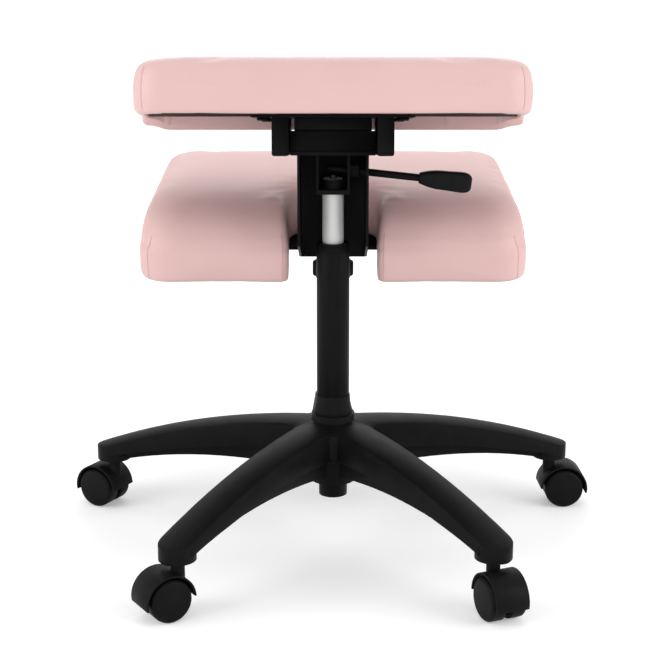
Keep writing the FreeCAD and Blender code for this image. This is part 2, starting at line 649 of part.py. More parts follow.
pad(lift_bracket, rectangle(sketch(lift_bracket, "XZ_Plane"), "bracket_half - bracket_plate",
                            "bracket_half + ear_length", EAR_LOW, EAR_HIGH),
    "2 * ( %s + ear_plate )" % EAR_HALF, symmetric=True)
pocket(lift_bracket, rectangle(sketch(lift_bracket, "XZ_Plane"), "bracket_half - bracket_plate - 1",
                               "bracket_half + ear_length + 1", "%s - 3" % EAR_LOW,
                               "%s + 4" % EAR_HIGH),
       "2 * %s" % EAR_HALF, symmetric=True)
pocket(lift_bracket, ring(sketch(lift_bracket, "XZ_Plane"), "lever_pin_radius",
                          x="lever_pivot", y=PIVOT_HEIGHT), "60", symmetric=True)

# Main bracket: a wide channel bent round the column, open to the rear, with its
# web in front and a tab below that carries the knee sleeve.

channel = body("main_bracket")
pad(channel, outline(sketch(channel, "YZ_Plane"), [
    ("0 - channel_rear", "channel_low_rear"), ("channel_front", "channel_low_front"),
    ("channel_front", seat_level("channel_front", PAN_ROOF)),
    ("0 - channel_rear", seat_level("( 0 - channel_rear )", PAN_ROOF))]),
    "2 * channel_half", symmetric=True)
fillet(channel, "channel_bend", lambda first, last: (
    abs(first.y - size("channel_front")) < 0.01 and abs(last.y - first.y) < 0.01
    and abs(last.x - first.x) < 0.01))
pocket(channel, rectangle(sketch(channel, "YZ_Plane"), "0 - channel_rear - 5",
                          "channel_front - bracket_plate", "channel_low_front - 40",
                          "seat_height"),
       "2 * ( channel_half - bracket_plate )", symmetric=True)
tab = sketch(channel, "XZ_Plane", "0 - channel_front")
pad(channel, rectangle(tab, "0 - tab_half", "tab_half", "tab_low", "channel_low_front + 20"),
    "bracket_plate")
window = sketch(channel, "YZ_Plane", "channel_half - bracket_plate / 2")
LEVER_AT_FLANGE = "( lever_height - channel_half * tan( lever_droop ) )"
pocket(channel, rectangle(window, "0 - 2 * lever_radius", "2 * lever_radius",
                          "%s - 2 * lever_radius" % LEVER_AT_FLANGE,
                          "%s + 3 * lever_radius" % LEVER_AT_FLANGE),
       "3 * bracket_plate", symmetric=True)
BOLT_HOLE = "bolt_radius + bolt_clearance"
for along in ("bolt_first", "( bolt_first + bolt_spacing )"):
    hole_y, hole_z = seat_point(along, "bolt_depth")
    pocket(channel, ring(sketch(channel, "YZ_Plane"), BOLT_HOLE, x=hole_y, y=hole_z),
           "3 * channel_half", symmetric=True)

# Seat pan: a pressed box, open below, welded over the tops of both brackets.

pan = seat_body("seat_pan")
PAN_TOP = "( tray_height + seat_plate_sheet )"
pad(pan, rectangle(sketch(pan, "XY_Plane", "0 - %s" % PAN_TOP), "0 - pan_half", "pan_half",
                   "pan_start", "pan_start + pan_length"), "pan_height", reverse=True)
pocket(pan, rectangle(sketch(pan, "XY_Plane", "0 - %s - pan_sheet" % PAN_TOP),
                      "0 - pan_half + pan_sheet", "pan_half - pan_sheet",
                      "pan_start + pan_sheet", "pan_start + pan_length - pan_sheet"),
       "pan_height")
for along in ("bolt_first", "( bolt_first + bolt_spacing )"):
    pocket(pan, ring(sketch(pan, "YZ_Plane"), BOLT_HOLE, x=along, y="0 - bolt_depth"),
           "3 * pan_half", symmetric=True)
hem = sketch(pan, "XY_Plane", "0 - %s - pan_height" % PAN_TOP)
pad(pan, rectangle(hem, "0 - pan_half", "pan_half", "pan_start - 1.2", "pan_start"), "5")

tray = seat_body("spacer_tray")
pad(tray, rectangle(sketch(tray, "XY_Plane", "0 - seat_plate_sheet"), "0 - tray_half",
                    "tray_half", "pan_start + tray_inset",
                    "pan_start + pan_length - tray_inset"), "tray_height", reverse=True)
pocket(tray, rectangle(sketch(tray, "XY_Plane", "0 - seat_plate_sheet"),
                       "0 - tray_half + seat_plate_sheet", "tray_half - seat_plate_sheet",
                       "pan_start + tray_inset + seat_plate_sheet",
                       "pan_start + pan_length - tray_inset - seat_plate_sheet"),
       "tray_height - seat_plate_sheet")

seat_plate = seat_body("seat_plate")
plate_drawn = rectangle(sketch(seat_plate, "XY_Plane"), "0 - seat_plate_half",
                        "seat_plate_half", "seat_plate_start",
                        "seat_plate_start + seat_plate_length")
SEAT_SCREW_ROWS = ("( seat_plate_start + seat_screw_inset )",
                   "( seat_plate_start + seat_plate_length - seat_screw_inset )")
for row_y in SEAT_SCREW_ROWS:
    for side in ("( 0 - seat_screw_half )", "seat_screw_half"):
        ring(plate_drawn, "screw_radius", x=side, y=row_y)
pad(seat_plate, plate_drawn, "seat_plate_sheet", reverse=True)
fillet(seat_plate, "board_corner / 2", lambda first, last: (
    abs(last.x - first.x) < 0.01 and abs(last.y - first.y) < 0.01
    and abs(abs(first.x) - size("seat_plate_half")) < 0.01))

# Seat rails: a rectangular tube each side of the pan, closed by plastic caps and
# held by two long bolts whose heads and nuts sit inside the tubes.

RAIL_INNER = "( pan_half + rail_washer )"
RAIL_TOP = "seat_plate_sheet"
CAP_FACE = "( rail_start - cap_plate )"
caps = seat_body("rail_caps")
for side, sign in (("left", "0 - "), ("right", "0 + ")):
    rail = seat_body("seat_rail_%s" % side)
    inner, outer = "%s%s" % (sign, RAIL_INNER), "%s( %s + rail_width )" % (sign, RAIL_INNER)
    pad(rail, rectangle(sketch(rail, "XZ_Plane", "0 - rail_start - rail_length"), inner, outer,
                        "0 - %s - rail_height" % RAIL_TOP, "0 - %s" % RAIL_TOP), "rail_length")
    fillet(rail, "rail_corner", lambda first, last: (
        abs(last.x - first.x) < 0.01 and abs(last.z - first.z) < 0.01
        and first.z < size("0 - rail_height")))
    cavity = ["%s( %s + rail_wall )" % (sign, RAIL_INNER),
              "%s( %s + rail_width - rail_wall )" % (sign, RAIL_INNER),
              "0 - %s - rail_height + rail_wall" % RAIL_TOP, "0 - %s - rail_wall" % RAIL_TOP]
    pocket(rail, rectangle(sketch(rail, "XZ_Plane"), *cavity),
           "3 * ( rail_start + rail_length )", symmetric=True)
    wall_middle = "%s( %s + rail_width )" % (sign, RAIL_INNER)
    for along in ("bolt_first", "( bolt_first + bolt_spacing )"):
        pocket(rail, ring(sketch(rail, "YZ_Plane", inner), BOLT_HOLE,
                          x=along, y="0 - bolt_depth"), "2.5 * rail_wall", symmetric=True)
        pocket(rail, ring(sketch(rail, "YZ_Plane", wall_middle), "access_radius",
                          x=along, y="0 - bolt_depth"), "2.5 * rail_wall", symmetric=True)
    for face, inward in ((CAP_FACE, "+"), ("( rail_start + rail_length + cap_plate )", "-")):
        flip = inward == "+"
        cap_drawn = rectangle(sketch(caps, "XZ_Plane", "0 - %s" % face), inner, outer,
                              "0 - %s - rail_height" % RAIL_TOP, "0 - %s" % RAIL_TOP)
        pad(caps, cap_drawn, "cap_plate", reverse=flip)
        plug_drawn = rectangle(sketch(caps, "XZ_Plane", "0 - %s" % face), *cavity)
        pad(caps, plug_drawn, "cap_plate + cap_plug", reverse=flip)
fillet(caps, "rail_corner", lambda first, last: (
    abs(last.x - first.x) < 0.01 and abs(last.z - first.z) < 0.01
    and abs(abs(first.z) - size("rail_height + seat_plate_sheet")) < 0.01))

bolts = seat_body("frame_bolts")
nuts = seat_body("frame_nuts")
washers = seat_body("rail_washers")
HEAD_SEAT = "( %s + rail_wall )" % RAIL_INNER
for along in ("bolt_first", "( bolt_first + bolt_spacing )"):
    head = hexagon(sketch(bolts, "YZ_Plane", "0 - %s - bolt_head" % HEAD_SEAT), "bolt_flats",
                   x=along, y="( 0 - bolt_depth )")
    pad(bolts, head, "bolt_head")
    shank = ring(sketch(bolts, "YZ_Plane", "0 - %s - bolt_head / 2" % HEAD_SEAT), "bolt_radius",
                 x=along, y="0 - bolt_depth")
    pad(bolts, shank, "2 * %s + bolt_head / 2 + nut_height + 2" % HEAD_SEAT)
    nut = hexagon(sketch(nuts, "YZ_Plane", HEAD_SEAT), "bolt_flats",
                  x=along, y="( 0 - bolt_depth )")
    ring(nut, "bolt_radius", x=along, y="0 - bolt_depth")
    pad(nuts, nut, "nut_height")
    for start in ("0 - %s" % RAIL_INNER, "pan_half"):
        disc = ring(sketch(washers, "YZ_Plane", start), "washer_radius",
                    x=along, y="0 - bolt_depth")
        ring(disc, BOLT_HOLE, x=along, y="0 - bolt_depth")
        pad(washers, disc, "rail_washer")


# Boards and pads. An outline is a polygon whose corners are rounded by arcs.

def rounded_wire(corners, level):
    """Closed wire through (x, y, radius) corners, with tangent arcs, at one height."""
    count = len(corners)
    points = [Vector(x, y, level) for x, y, radius in corners]
    joints = []
    for index, (x, y, radius) in enumerate(corners):
        here = points[index]
        back = (points[index - 1] - here).normalize()
        ahead = (points[(index + 1) % count] - here).normalize()
        half = back.getAngle(ahead) / 2
        reach = radius / math.tan(half)
        middle = (back + ahead).normalize() * (radius / math.sin(half) - radius)
        joints.append((here + back * reach, here + middle, here + ahead * reach))
    edges = []
    for index, (start, middle, end) in enumerate(joints):
        edges.append(Part.Arc(start, middle, end).toShape())
        following = joints[(index + 1) % count][0]
        if end.distanceToPoint(following) > 0.05:
            edges.append(Part.LineSegment(end, following).toShape())
    return Part.Wire(Part.__sortEdges__(edges))


def board_corners(rear_half, front_half, rear, front, radius, side=0.0):
    """Corners of a plain board or pad that widens or narrows towards the front."""
    return [(-rear_half + side, rear, radius), (rear_half - side, rear, radius),
            (front_half - side, front, radius), (-front_half + side, front, radius)]


def notched_corners(rear_half, front_half, rear, front, radius, half, depth, mouth):
    """Corners of a board or pad with a round-ended notch in its rear edge."""
    return [(-rear_half, rear, radius), (-half, rear, mouth), (-half, depth, half * 0.999),
            (half, depth, half * 0.999), (half, rear, mouth), (rear_half, rear, radius),
            (front_half, front, radius), (-front_half, front, radius)]


def piece(label, shape, seat_frame):
    """A sub-part whose shape is set here, standing in the seat's or the knee's frame."""
    made = doc.addObject("Part::Feature", label)
    made.Label = label
    made.Shape = shape
    if seat_frame:
        place, angle = Vector(0, size("seat_rear"), size("seat_height")), -size("seat_tilt")
    else:
        place, angle = Vector(0, size("knee_plate_y"), size("knee_height")), size("knee_tilt")
    made.Placement = FreeCAD.Placement(place, FreeCAD.Rotation(Vector(1, 0, 0), angle))
    pieces.append(made)
    return made


def slab(wire, thickness):
    """Flat board from its lower outline."""
    return Part.Face(wire).extrude(Vector(0, 0, thickness))


def drilled(shape, places, radius, depth):
    """Board with pilot holes from below at the given places."""
    for x, y in places:
        shape = shape.cut(Part.makeCylinder(radius, depth, Vector(x, y, 0)))
    return shape


BOARD = size("board_thickness")
seat_screw_places = [(side * size("seat_screw_half"), size(row_y))
                     for row_y in SEAT_SCREW_ROWS for side in (-1, 1)]
pilot_depth = size("screw_length - seat_plate_sheet")
seat_outline = board_corners(size("seat_rear_half"), size("seat_front_half"), 0,
                             size("seat_length"), size("board_corner"))
seat_board_shape = slab(rounded_wire(seat_outline, 0), BOARD)
piece("seat_board", drilled(seat_board_shape, seat_screw_places, size("screw_radius"),
                            pilot_depth), True)

# Each layer of a pad: height as a share of the thickness, then how far the outline
# draws in at the rear, at the sides and at the front, and how far the notch opens.
SEAT_LAYERS = [
    (0.0, 4.0, 5.0, 2.0), (0.14, 0.8, 0.8, 0.3), (0.41, 0.0, 0.0, 0.0), (0.69, 1.0, 1.8, 4.0),
    (0.85, 3.5, 5.0, 12.0), (0.93, 9.0, 14.0, 24.0), (0.97, 20.0, 32.0, 42.0),
    (0.99, 40.0, 58.0, 66.0), (1.0, 70.0, 90.0, 100.0)]
KNEE_LAYERS = [
    (0.0, 0.5, 2.5, 5.0, 0.0), (0.15, 0.0, 0.5, 1.0, 0.0), (0.39, 1.5, 0.0, 0.0, 0.3),
    (0.62, 7.0, 1.2, 1.2, 1.0), (0.80, 15.0, 4.0, 3.5, 2.5), (0.905, 24.0, 9.0, 8.0, 6.0),
    (0.96, 33.0, 20.0, 17.0, 12.0), (0.99, 41.0, 44.0, 38.0, 20.0),
    (1.0, 48.0, 70.0, 62.0, 30.0)]


def seat_pad_wire(share, rear, side, front):
    over = size("seat_pad_over")
    return rounded_wire(board_corners(
        size("seat_rear_half") + over - side, size("seat_front_half") + over + 3 - side,
        rear - size("seat_pad_rear_over"), size("seat_length + seat_pad_front_over") - front,
        size("board_corner + pad_corner_over")), share * size("seat_pad_thickness"))


def knee_pad_wire(share, rear, side, front, notch):
    over = size("knee_pad_over")
    start = -size("knee_board_rear + knee_pad_rear_over")
    half = size("notch_half") + notch
    return rounded_wire(notched_corners(
        size("knee_rear_half") + over - side, size("knee_front_half") + over - side,
        start + rear, size("knee_board_length + knee_pad_over - knee_board_rear") - front,
        size("board_corner + knee_corner_over"), half, start + size("notch_depth") + notch,
        size("notch_mouth")), share * size("knee_pad_thickness"))


def roll(sides, board_side, edge, drop, radii):
    """Soft roll under a pad's edge, from its bottom up into the pad: layers of a
    rounded rectangle between two sides, with a corner radius at the edge for each."""
    outward = 1 if edge > board_side else -1
    wires = []
    for share, inset in ((1.0, 9.0), (0.8, 3.2), (0.45, 0.6), (0.0, 0.0), (-1.0, 0.0)):
        left, right = sides[0] + inset, sides[1] - inset
        near, far = board_side + outward * inset / 3, edge - outward * inset
        wires.append(rounded_wire([
            (left, near, 2.0), (right, near, 2.0), (right, far, radii[1] - inset),
            (left, far, radii[0] - inset)], -drop * share))
    return Part.makeLoft(wires, True, False)


seat_shell = Part.makeLoft([seat_pad_wire(*layer) for layer in SEAT_LAYERS], True, False)
seat_end = size("seat_length + seat_pad_front_over")
seat_roll_half = size("seat_front_half + seat_pad_over") - 2
seat_corner = size("board_corner + pad_corner_over") - 1
seat_roll = roll((-seat_roll_half, seat_roll_half), size("seat_length") + 1, seat_end - 3.5,
                 size("seat_roll_drop"), (seat_corner, seat_corner))
seat_cushion_shape = seat_shell.fuse(seat_roll).cut(seat_board_shape)
piece("seat_cushion", seat_cushion_shape, True)

KNEE_SCREW_ROWS = ("knee_screw_first", "( knee_screw_first + knee_screw_spacing )")
knee_screw_places = [(side * size("knee_screw_half"), size(row_y))
                     for row_y in KNEE_SCREW_ROWS for side in (-1, 1)]
board_start = -size("knee_board_rear")
knee_outline = notched_corners(
    size("knee_rear_half"), size("knee_front_half"), board_start,
    board_start + size("knee_board_length"), size("board_corner"),
    size("notch_half + notch_board_gap"),
    size("notch_depth + notch_board_gap - knee_board_rear - knee_pad_rear_over"), 8.0)
knee_board_shape = slab(rounded_wire(knee_outline, 0), BOARD)
piece("knee_board", drilled(knee_board_shape, knee_screw_places, size("screw_radius"),
                            size("screw_length - knee_plate_sheet")), False)
knee_shell = Part.makeLoft([knee_pad_wire(*layer) for layer in KNEE_LAYERS], True, False)
knee_start = -size("knee_board_rear + knee_pad_rear_over")
roll_inner = size("notch_half") + 0.5
roll_outer = size("knee_rear_half + knee_pad_over") - 1.5
knee_corner = size("board_corner + knee_corner_over") - 3
roll_mouth = size("notch_mouth") + 4
knee_rolls = [
    roll((-roll_outer, -roll_inner), board_start - 1, knee_start + 0.3,
         size("knee_roll_drop"), (knee_corner, roll_mouth)),
    roll((roll_inner, roll_outer), board_start - 1, knee_start + 0.3,
         size("knee_roll_drop"), (roll_mouth, knee_corner))]
piece("knee_cushion", knee_shell.fuse(knee_rolls).cut(knee_board_shape), False)


def screw_set(label, frame, places, plate):
    """Mushroom-head wood screws under a plate, one solid each."""
    made = frame(label)
    for x, y in places:
        head = ring(sketch(made, "XY_Plane", "0 - %s - screw_head_height" % plate),
                    "screw_head_radius", x=x, y=y)
        pad(made, head, "screw_head_height")
        shank = ring(sketch(made, "XY_Plane", "0 - %s" % plate), "screw_radius", x=x, y=y)
        pad(made, shank, "screw_length")
    return made


screw_set("seat_screws", seat_body,
          [(side, row_y) for row_y in SEAT_SCREW_ROWS
           for side in ("( 0 - seat_screw_half )", "seat_screw_half")], "seat_plate_sheet")
screw_set("knee_screws", knee_body,
          [(side, row_y) for row_y in KNEE_SCREW_ROWS
           for side in ("( 0 - knee_screw_half )", "knee_screw_half")], "knee_plate_sheet")

# Knee plate and its bar: the bar slides in a sleeve welded to the main bracket,
# with a nut welded under it, and a raised block at its front end carries the plate.

knee_plate = knee_body("knee_plate")
knee_drawn = rectangle(sketch(knee_plate, "XY_Plane"), "0 - knee_plate_half", "knee_plate_half",
                       "0", "knee_plate_length")
for row_y in KNEE_SCREW_ROWS:
    for side in ("( 0 - knee_screw_half )", "knee_screw_half"):
        ring(knee_drawn, "screw_radius", x=side, y=row_y)
pad(knee_plate, knee_drawn, "knee_plate_sheet", reverse=True)

SLEEVE_TOP = "( knee_plate_sheet + sleeve_gap )"


def web_line(depth):
    """Place along the knee frame of the main bracket's web, at a depth under the plate."""
    return "( ( channel_front - knee_plate_y - %s * sin( knee_tilt ) ) / cos( knee_tilt ) )" % depth


sleeve = knee_body("knee_sleeve")
SLEEVE_LOW = "( %s + sleeve_height )" % SLEEVE_TOP
pad(sleeve, outline(sketch(sleeve, "YZ_Plane"), [
    (web_line(SLEEVE_LOW), "0 - %s" % SLEEVE_LOW), ("sleeve_end", "0 - %s" % SLEEVE_LOW),
    ("sleeve_end", "0 - %s" % SLEEVE_TOP), (web_line(SLEEVE_TOP), "0 - %s" % SLEEVE_TOP)]),
    "2 * sleeve_half", symmetric=True)
BAR_TOP = "( %s + sleeve_wall + slide_gap )" % SLEEVE_TOP
BAR_LOW = "( %s - sleeve_wall - slide_gap )" % SLEEVE_LOW
pocket(sleeve, rectangle(sketch(sleeve, "XZ_Plane"), "0 - sleeve_half + sleeve_wall",
                         "sleeve_half - sleeve_wall", "0 - %s - slide_gap" % BAR_LOW,
                         "0 - %s + slide_gap" % BAR_TOP), "4 * sleeve_end", symmetric=True)
pocket(sleeve, ring(sketch(sleeve, "XY_Plane", "0 - %s" % BAR_LOW),
                    "stud_radius + bolt_clearance", y="knob_y"), "2 * sleeve_wall")

bar = knee_body("knee_arm")
pad(bar, outline(sketch(bar, "YZ_Plane"), [
    ("arm_bar_start", "0 - %s" % BAR_LOW), ("knee_plate_length", "0 - %s" % BAR_LOW),
    ("knee_plate_length", "0 - knee_plate_sheet"), ("arm_block_start", "0 - knee_plate_sheet"),
    ("arm_block_start", "0 - %s" % BAR_TOP), ("arm_bar_start", "0 - %s" % BAR_TOP)]),
    "2 * ( sleeve_half - sleeve_wall - slide_gap )", symmetric=True)

nut_drawn = ring(sketch(sleeve, "XY_Plane", "0 - %s" % SLEEVE_LOW), "weld_nut_radius", y="knob_y")
ring(nut_drawn, "stud_radius + bolt_clearance", y="knob_y")
pad(sleeve, nut_drawn, "weld_nut_height", reverse=True)

# Clamp knob: a moulded hand wheel with finger dents, and its steel stud.

KNOB_TOP = "( %s + weld_nut_height + knob_gap )" % SLEEVE_LOW


def knob_body(label):
    """A body in the clamp knob's frame, on the knob's axis in the knee frame."""
    return body(label, y="knee_plate_y + knob_y * cos( knee_tilt )",
                z="knee_height + knob_y * sin( knee_tilt )", turn="knee_tilt", axis=(1, 0, 0))


knob = knob_body("clamp_knob")
knob_low = "0 - %s - knob_height" % KNOB_TOP
turn(knob, outline(sketch(knob, "XZ_Plane"), [
    ("0", knob_low), ("knob_radius - knob_edge", knob_low),
    ("knob_radius", "%s + knob_edge" % knob_low),
    ("knob_radius", "0 - %s - knob_edge" % KNOB_TOP),
    ("knob_radius - knob_edge", "0 - %s" % KNOB_TOP),
    ("0", "0 - %s" % KNOB_TOP)]))
DENT_REACH = "( knob_radius + knob_lobe_depth * 0.8 )"
dent = ring(sketch(knob, "XY_Plane", knob_low), "knob_lobe_depth * 1.8",
            x="%s * cos( 180 / knob_lobes )" % DENT_REACH,
            y="%s * sin( 180 / knob_lobes )" % DENT_REACH)
around(knob, [pocket(knob, dent, "knob_height", reverse=True)], "knob_lobes")
stud_hole = ring(sketch(knob, "XY_Plane", "0 - %s" % KNOB_TOP), "stud_radius")
pocket(knob, stud_hole, "knob_height * 0.7")
stud = knob_body("clamp_stud")
pad(stud, ring(sketch(stud, "XY_Plane", "0 - %s - 0.2" % BAR_LOW), "stud_radius"),
    "%s - %s - 0.2 + knob_height * 0.7" % (KNOB_TOP, BAR_LOW), reverse=True)

# Lever: a rod that pivots on a pin between the ears of the lift bracket. Its
# inner end lies over the valve pin and its outer end carries the grip.

def lever_body(label):
    """A body in the lever's frame: along the rod, from the pivot outward."""
    return body(label, x="lever_pivot", z=PIVOT_HEIGHT, turn="lever_droop", axis=(0, 1, 0))


SLANT = "cos( lever_droop )"
lever = lever_body("lever_rod")
turn(lever, outline(sketch(lever, "XZ_Plane"), [
    ("( lever_inner - lever_pivot ) / %s" % SLANT, "0"),
    ("( lever_inner - lever_pivot ) / %s" % SLANT, "lever_radius * 0.6"),
    ("( lever_inner - lever_pivot ) / %s + 5" % SLANT, "lever_radius"),
    ("( lever_outer - lever_pivot ) / %s" % SLANT, "lever_radius"),
    ("( lever_outer - lever_pivot ) / %s" % SLANT, "0")]), axis="H_Axis")
pocket(lever, ring(sketch(lever, "XZ_Plane"), "lever_pin_radius + running_gap"), "20",
       symmetric=True)
pin = lever_body("lever_pin")
pad(pin, ring(sketch(pin, "XZ_Plane"), "lever_pin_radius"), "2 * ( %s + ear_plate )" % EAR_HALF,
    symmetric=True)
grip = lever_body("lever_grip")
GRIP_START = "( ( grip_start - lever_pivot ) / %s )" % SLANT


def grip_section(share, tall, wide):
    """Rounded section of the grip, as shares of its length, half height and thickness."""
    half, side = "( grip_half * %g )" % tall, "( grip_thickness / 2 * %g )" % wide
    bend = "( grip_thickness * 0.3 * %g )" % wide
    low, high = "( %s - %s )" % (bend, half), "( %s - %s )" % (half, bend)
    near, far = "( %s - %s )" % (bend, side), "( %s - %s )" % (side, bend)
    return outline(sketch(grip, "YZ_Plane", "%s + grip_length * %g" % (GRIP_START, share)), [
        (near, "0 - %s" % half), (far, "0 - %s" % half, bend), (side, low), (side, high, bend),
        (far, half), (near, half, bend), ("0 - %s" % side, high), ("0 - %s" % side, low, bend)])


GRIP_STATIONS = ((0.0, 0.50, 0.85), (0.05, 0.58, 0.95), (0.4, 0.92, 1.0), (0.8, 1.0, 1.0),
                 (0.95, 0.84, 0.9), (1.0, 0.56, 0.6))
grip_sketches = [grip_section(*station) for station in GRIP_STATIONS]
grip_form = grip.newObject("PartDesign::AdditiveLoft", "form")
grip_form.Profile = grip_sketches[0]
grip_form.Sections = grip_sketches[1:]
pocket(grip, ring(sketch(grip, "YZ_Plane", GRIP_START), "lever_radius"),
       "( lever_outer - grip_start ) / %s" % SLANT, reverse=True)

# Castors: a steel stem turns in each socket, a hood is pressed on the stem and
# two wheels turn on an axle that trails behind it.

CASTERS = [("side_right", 0, 3), ("front", 1, 68), ("side_left", 2, 150),
           ("rear_left", 3, -148), ("rear_right", 4, -67)]
for place, number, heading in CASTERS:
    arm_turn = "( base_turn + %d * 360 / arm_count )" % number
    stem_x = "stem_circle * cos( %s )" % arm_turn
    stem_y = "stem_circle * sin( %s )" % arm_turn
    axle_x = "%s + caster_trail * cos( %d )" % (stem_x, heading)
    axle_y = "%s + caster_trail * sin( %d )" % (stem_y, heading)
    at_stem = {"x": stem_x, "y": stem_y, "turn": "%d" % heading}
    at_axle = {"x": axle_x, "y": axle_y, "z": "wheel_radius", "turn": "%d" % heading}
    turned("caster_%s_stem" % place, [
        ("0", "stem_bottom"), ("stem_radius - 1", "stem_bottom"),
        ("stem_radius", "stem_bottom + 1"), ("stem_radius", "stem_bottom + stem_length - 1.5"),
        ("stem_radius - 1.5", "stem_bottom + stem_length"), ("0", "stem_bottom + stem_length")],
        **at_stem)
    hood = body("caster_%s_hood" % place, **at_axle)
    rear_x = "hood_radius * cos( hood_rear_fall )"
    rear_z = "0 - hood_radius * sin( hood_rear_fall )"
    front_x = "0 - sqrt( hood_radius ^ 2 - hood_front_rise ^ 2 )"
    crest = "hood_radius"
    pad(hood, outline(sketch(hood, "XZ_Plane"), [
        ("0", "0"), (rear_x, rear_z, crest), ("0", "hood_radius", crest),
        (front_x, "hood_front_rise")]), "2 * hood_half", symmetric=True)
    neck = ring(sketch(hood, "XY_Plane", "hood_wall"), "hood_neck_radius", x="0 - caster_trail")
    pad(hood, neck, "hood_neck_top - wheel_radius - hood_wall")
    for face, flip in (("hood_web / 2", True), ("0 - hood_web / 2", False)):
        hollow = ring(sketch(hood, "XZ_Plane", face), "hood_radius - hood_wall")
        pocket(hood, hollow, "2 * hood_half", reverse=flip)
    pad(hood, ring(sketch(hood, "XZ_Plane"), "axle_radius + 4"), "hood_web", symmetric=True)
    pocket(hood, ring(sketch(hood, "XZ_Plane"), "axle_radius"), "2 * hood_web", symmetric=True)
    bore = ring(sketch(hood, "XY_Plane", "stem_bottom - wheel_radius"), "stem_radius",
                x="0 - caster_trail")
    pocket(hood, bore, "hood_neck_top", reverse=True)
    axle = body("caster_%s_axle" % place, **at_axle)
    pad(axle, ring(sketch(axle, "XZ_Plane"), "axle_radius"), "2 * ( wheel_outer - wheel_disc )",
        symmetric=True)
    for side, sign in (("left", ""), ("right", "0 - ")):
        wheel = body("caster_%s_wheel_%s" % (place, side), **at_axle)
        flat = sketch(wheel, "XY_Plane")
        inner_face, outer_face = "%swheel_gap_half" % sign, "%swheel_outer" % sign
        disc_face = "%s( wheel_outer - wheel_disc )" % sign
        edge_face = "%s( wheel_outer - wheel_edge )" % sign
        outline(flat, [
            ("0", outer_face), ("0", disc_face), ("axle_radius + running_gap", disc_face),
            ("axle_radius + running_gap", inner_face), ("wheel_hub_radius", inner_face),
            ("wheel_hub_radius", disc_face), ("wheel_radius - wheel_rim", disc_face),
            ("wheel_radius - wheel_rim", inner_face), ("wheel_radius", inner_face),
            ("wheel_radius", edge_face), ("wheel_radius - wheel_edge", outer_face)])
        turn(wheel, flat)

# Check every feature, then write one file per sub-part.

doc.recompute()
faults = [item.Name for item in doc.Objects
          if any(state in ("Invalid", "Error") for state in item.State)]
for made in pieces:
    if made.Shape.isNull() or not made.Shape.isValid() or not made.Shape.Solids:
        faults.append(made.Label)
if faults:
    raise RuntimeError("Failed objects: " + ", ".join(faults))
os.makedirs("parts", exist_ok=True)
for made in pieces:
    made.Shape.exportStep(os.path.join("parts", made.Label + ".step"))
print(len(pieces), "sub-parts written")
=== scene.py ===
import math

import bmesh
import bpy
import numpy as np
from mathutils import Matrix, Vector
from mathutils.bvhtree import BVHTree


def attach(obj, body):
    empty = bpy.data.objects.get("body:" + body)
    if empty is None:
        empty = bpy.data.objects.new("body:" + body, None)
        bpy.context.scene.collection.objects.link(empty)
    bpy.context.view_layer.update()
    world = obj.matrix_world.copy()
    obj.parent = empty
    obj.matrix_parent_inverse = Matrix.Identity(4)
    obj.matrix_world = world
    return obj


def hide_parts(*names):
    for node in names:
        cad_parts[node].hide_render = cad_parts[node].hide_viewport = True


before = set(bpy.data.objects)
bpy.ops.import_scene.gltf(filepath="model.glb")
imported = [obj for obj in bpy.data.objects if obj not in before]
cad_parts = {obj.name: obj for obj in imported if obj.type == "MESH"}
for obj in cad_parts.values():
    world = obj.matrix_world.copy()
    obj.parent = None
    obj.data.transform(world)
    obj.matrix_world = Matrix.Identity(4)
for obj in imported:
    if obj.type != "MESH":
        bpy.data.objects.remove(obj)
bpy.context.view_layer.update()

# Camera. It stands behind the chair, at the height of the sitter's shoulders, and
# looks forward and a little down at the middle of the column.

CAMERA_BACK, CAMERA_HEIGHT, CAMERA_PITCH = 1.931, 0.793, 15.46
SENSOR, FOCAL_PIXELS, PICTURE_PIXELS = 36.0, 1632, 666
camera = bpy.data.objects.new("camera", bpy.data.cameras.new("camera"))
camera.location = (0.0, -CAMERA_BACK, CAMERA_HEIGHT)
camera.rotation_euler = (math.radians(90 - CAMERA_PITCH), 0.0, 0.0)
camera.data.sensor_width = SENSOR
camera.data.lens = SENSOR * FOCAL_PIXELS / PICTURE_PIXELS
bpy.context.collection.objects.link(camera)
bpy.context.scene.camera = camera

# Castors. Each has a hood and two wheels injection-moulded in black nylon with a
# fine spark-eroded texture, and a turned steel stem and axle. The moulded edges
# are rounded copies of the CAD solids.


def node(tree, kind, sockets=None, **settings):
    """One shader node. A socket given as another node's output is linked, else set."""
    made = tree.nodes.new(kind)
    for name, value in settings.items():
        setattr(made, name, value)
    for name, value in (sockets or {}).items():
        if isinstance(value, bpy.types.NodeSocket):
            tree.links.new(value, made.inputs[name])
        else:
            made.inputs[name].default_value = value
    return made


def new_finish(name):
    """An empty material: its tree, its shader and the piece's own coordinates."""
    material = bpy.data.materials.new(name)
    material.use_nodes = True
    tree = material.node_tree
    shader = tree.nodes["Principled BSDF"]
    place = tree.nodes.new("ShaderNodeTexCoord").outputs["Object"]
    return material, tree, shader, place


def between(tree, value, low, high):
    """Value from 0 to 1 brought to a range."""
    return node(tree, "ShaderNodeMapRange", {"Value": value, "To Min": low, "To Max": high},
                clamp=True).outputs["Result"]


def blend_colours(tree, value, dark, light):
    """Colour between two by a value from 0 to 1."""
    ramp = node(tree, "ShaderNodeValToRGB", {"Fac": value})
    ramp.color_ramp.elements[0].color = (*dark, 1.0)
    ramp.color_ramp.elements[0].position = 0.3
    ramp.color_ramp.elements[1].color = (*light, 1.0)
    ramp.color_ramp.elements[1].position = 0.7
    return ramp.outputs["Color"]


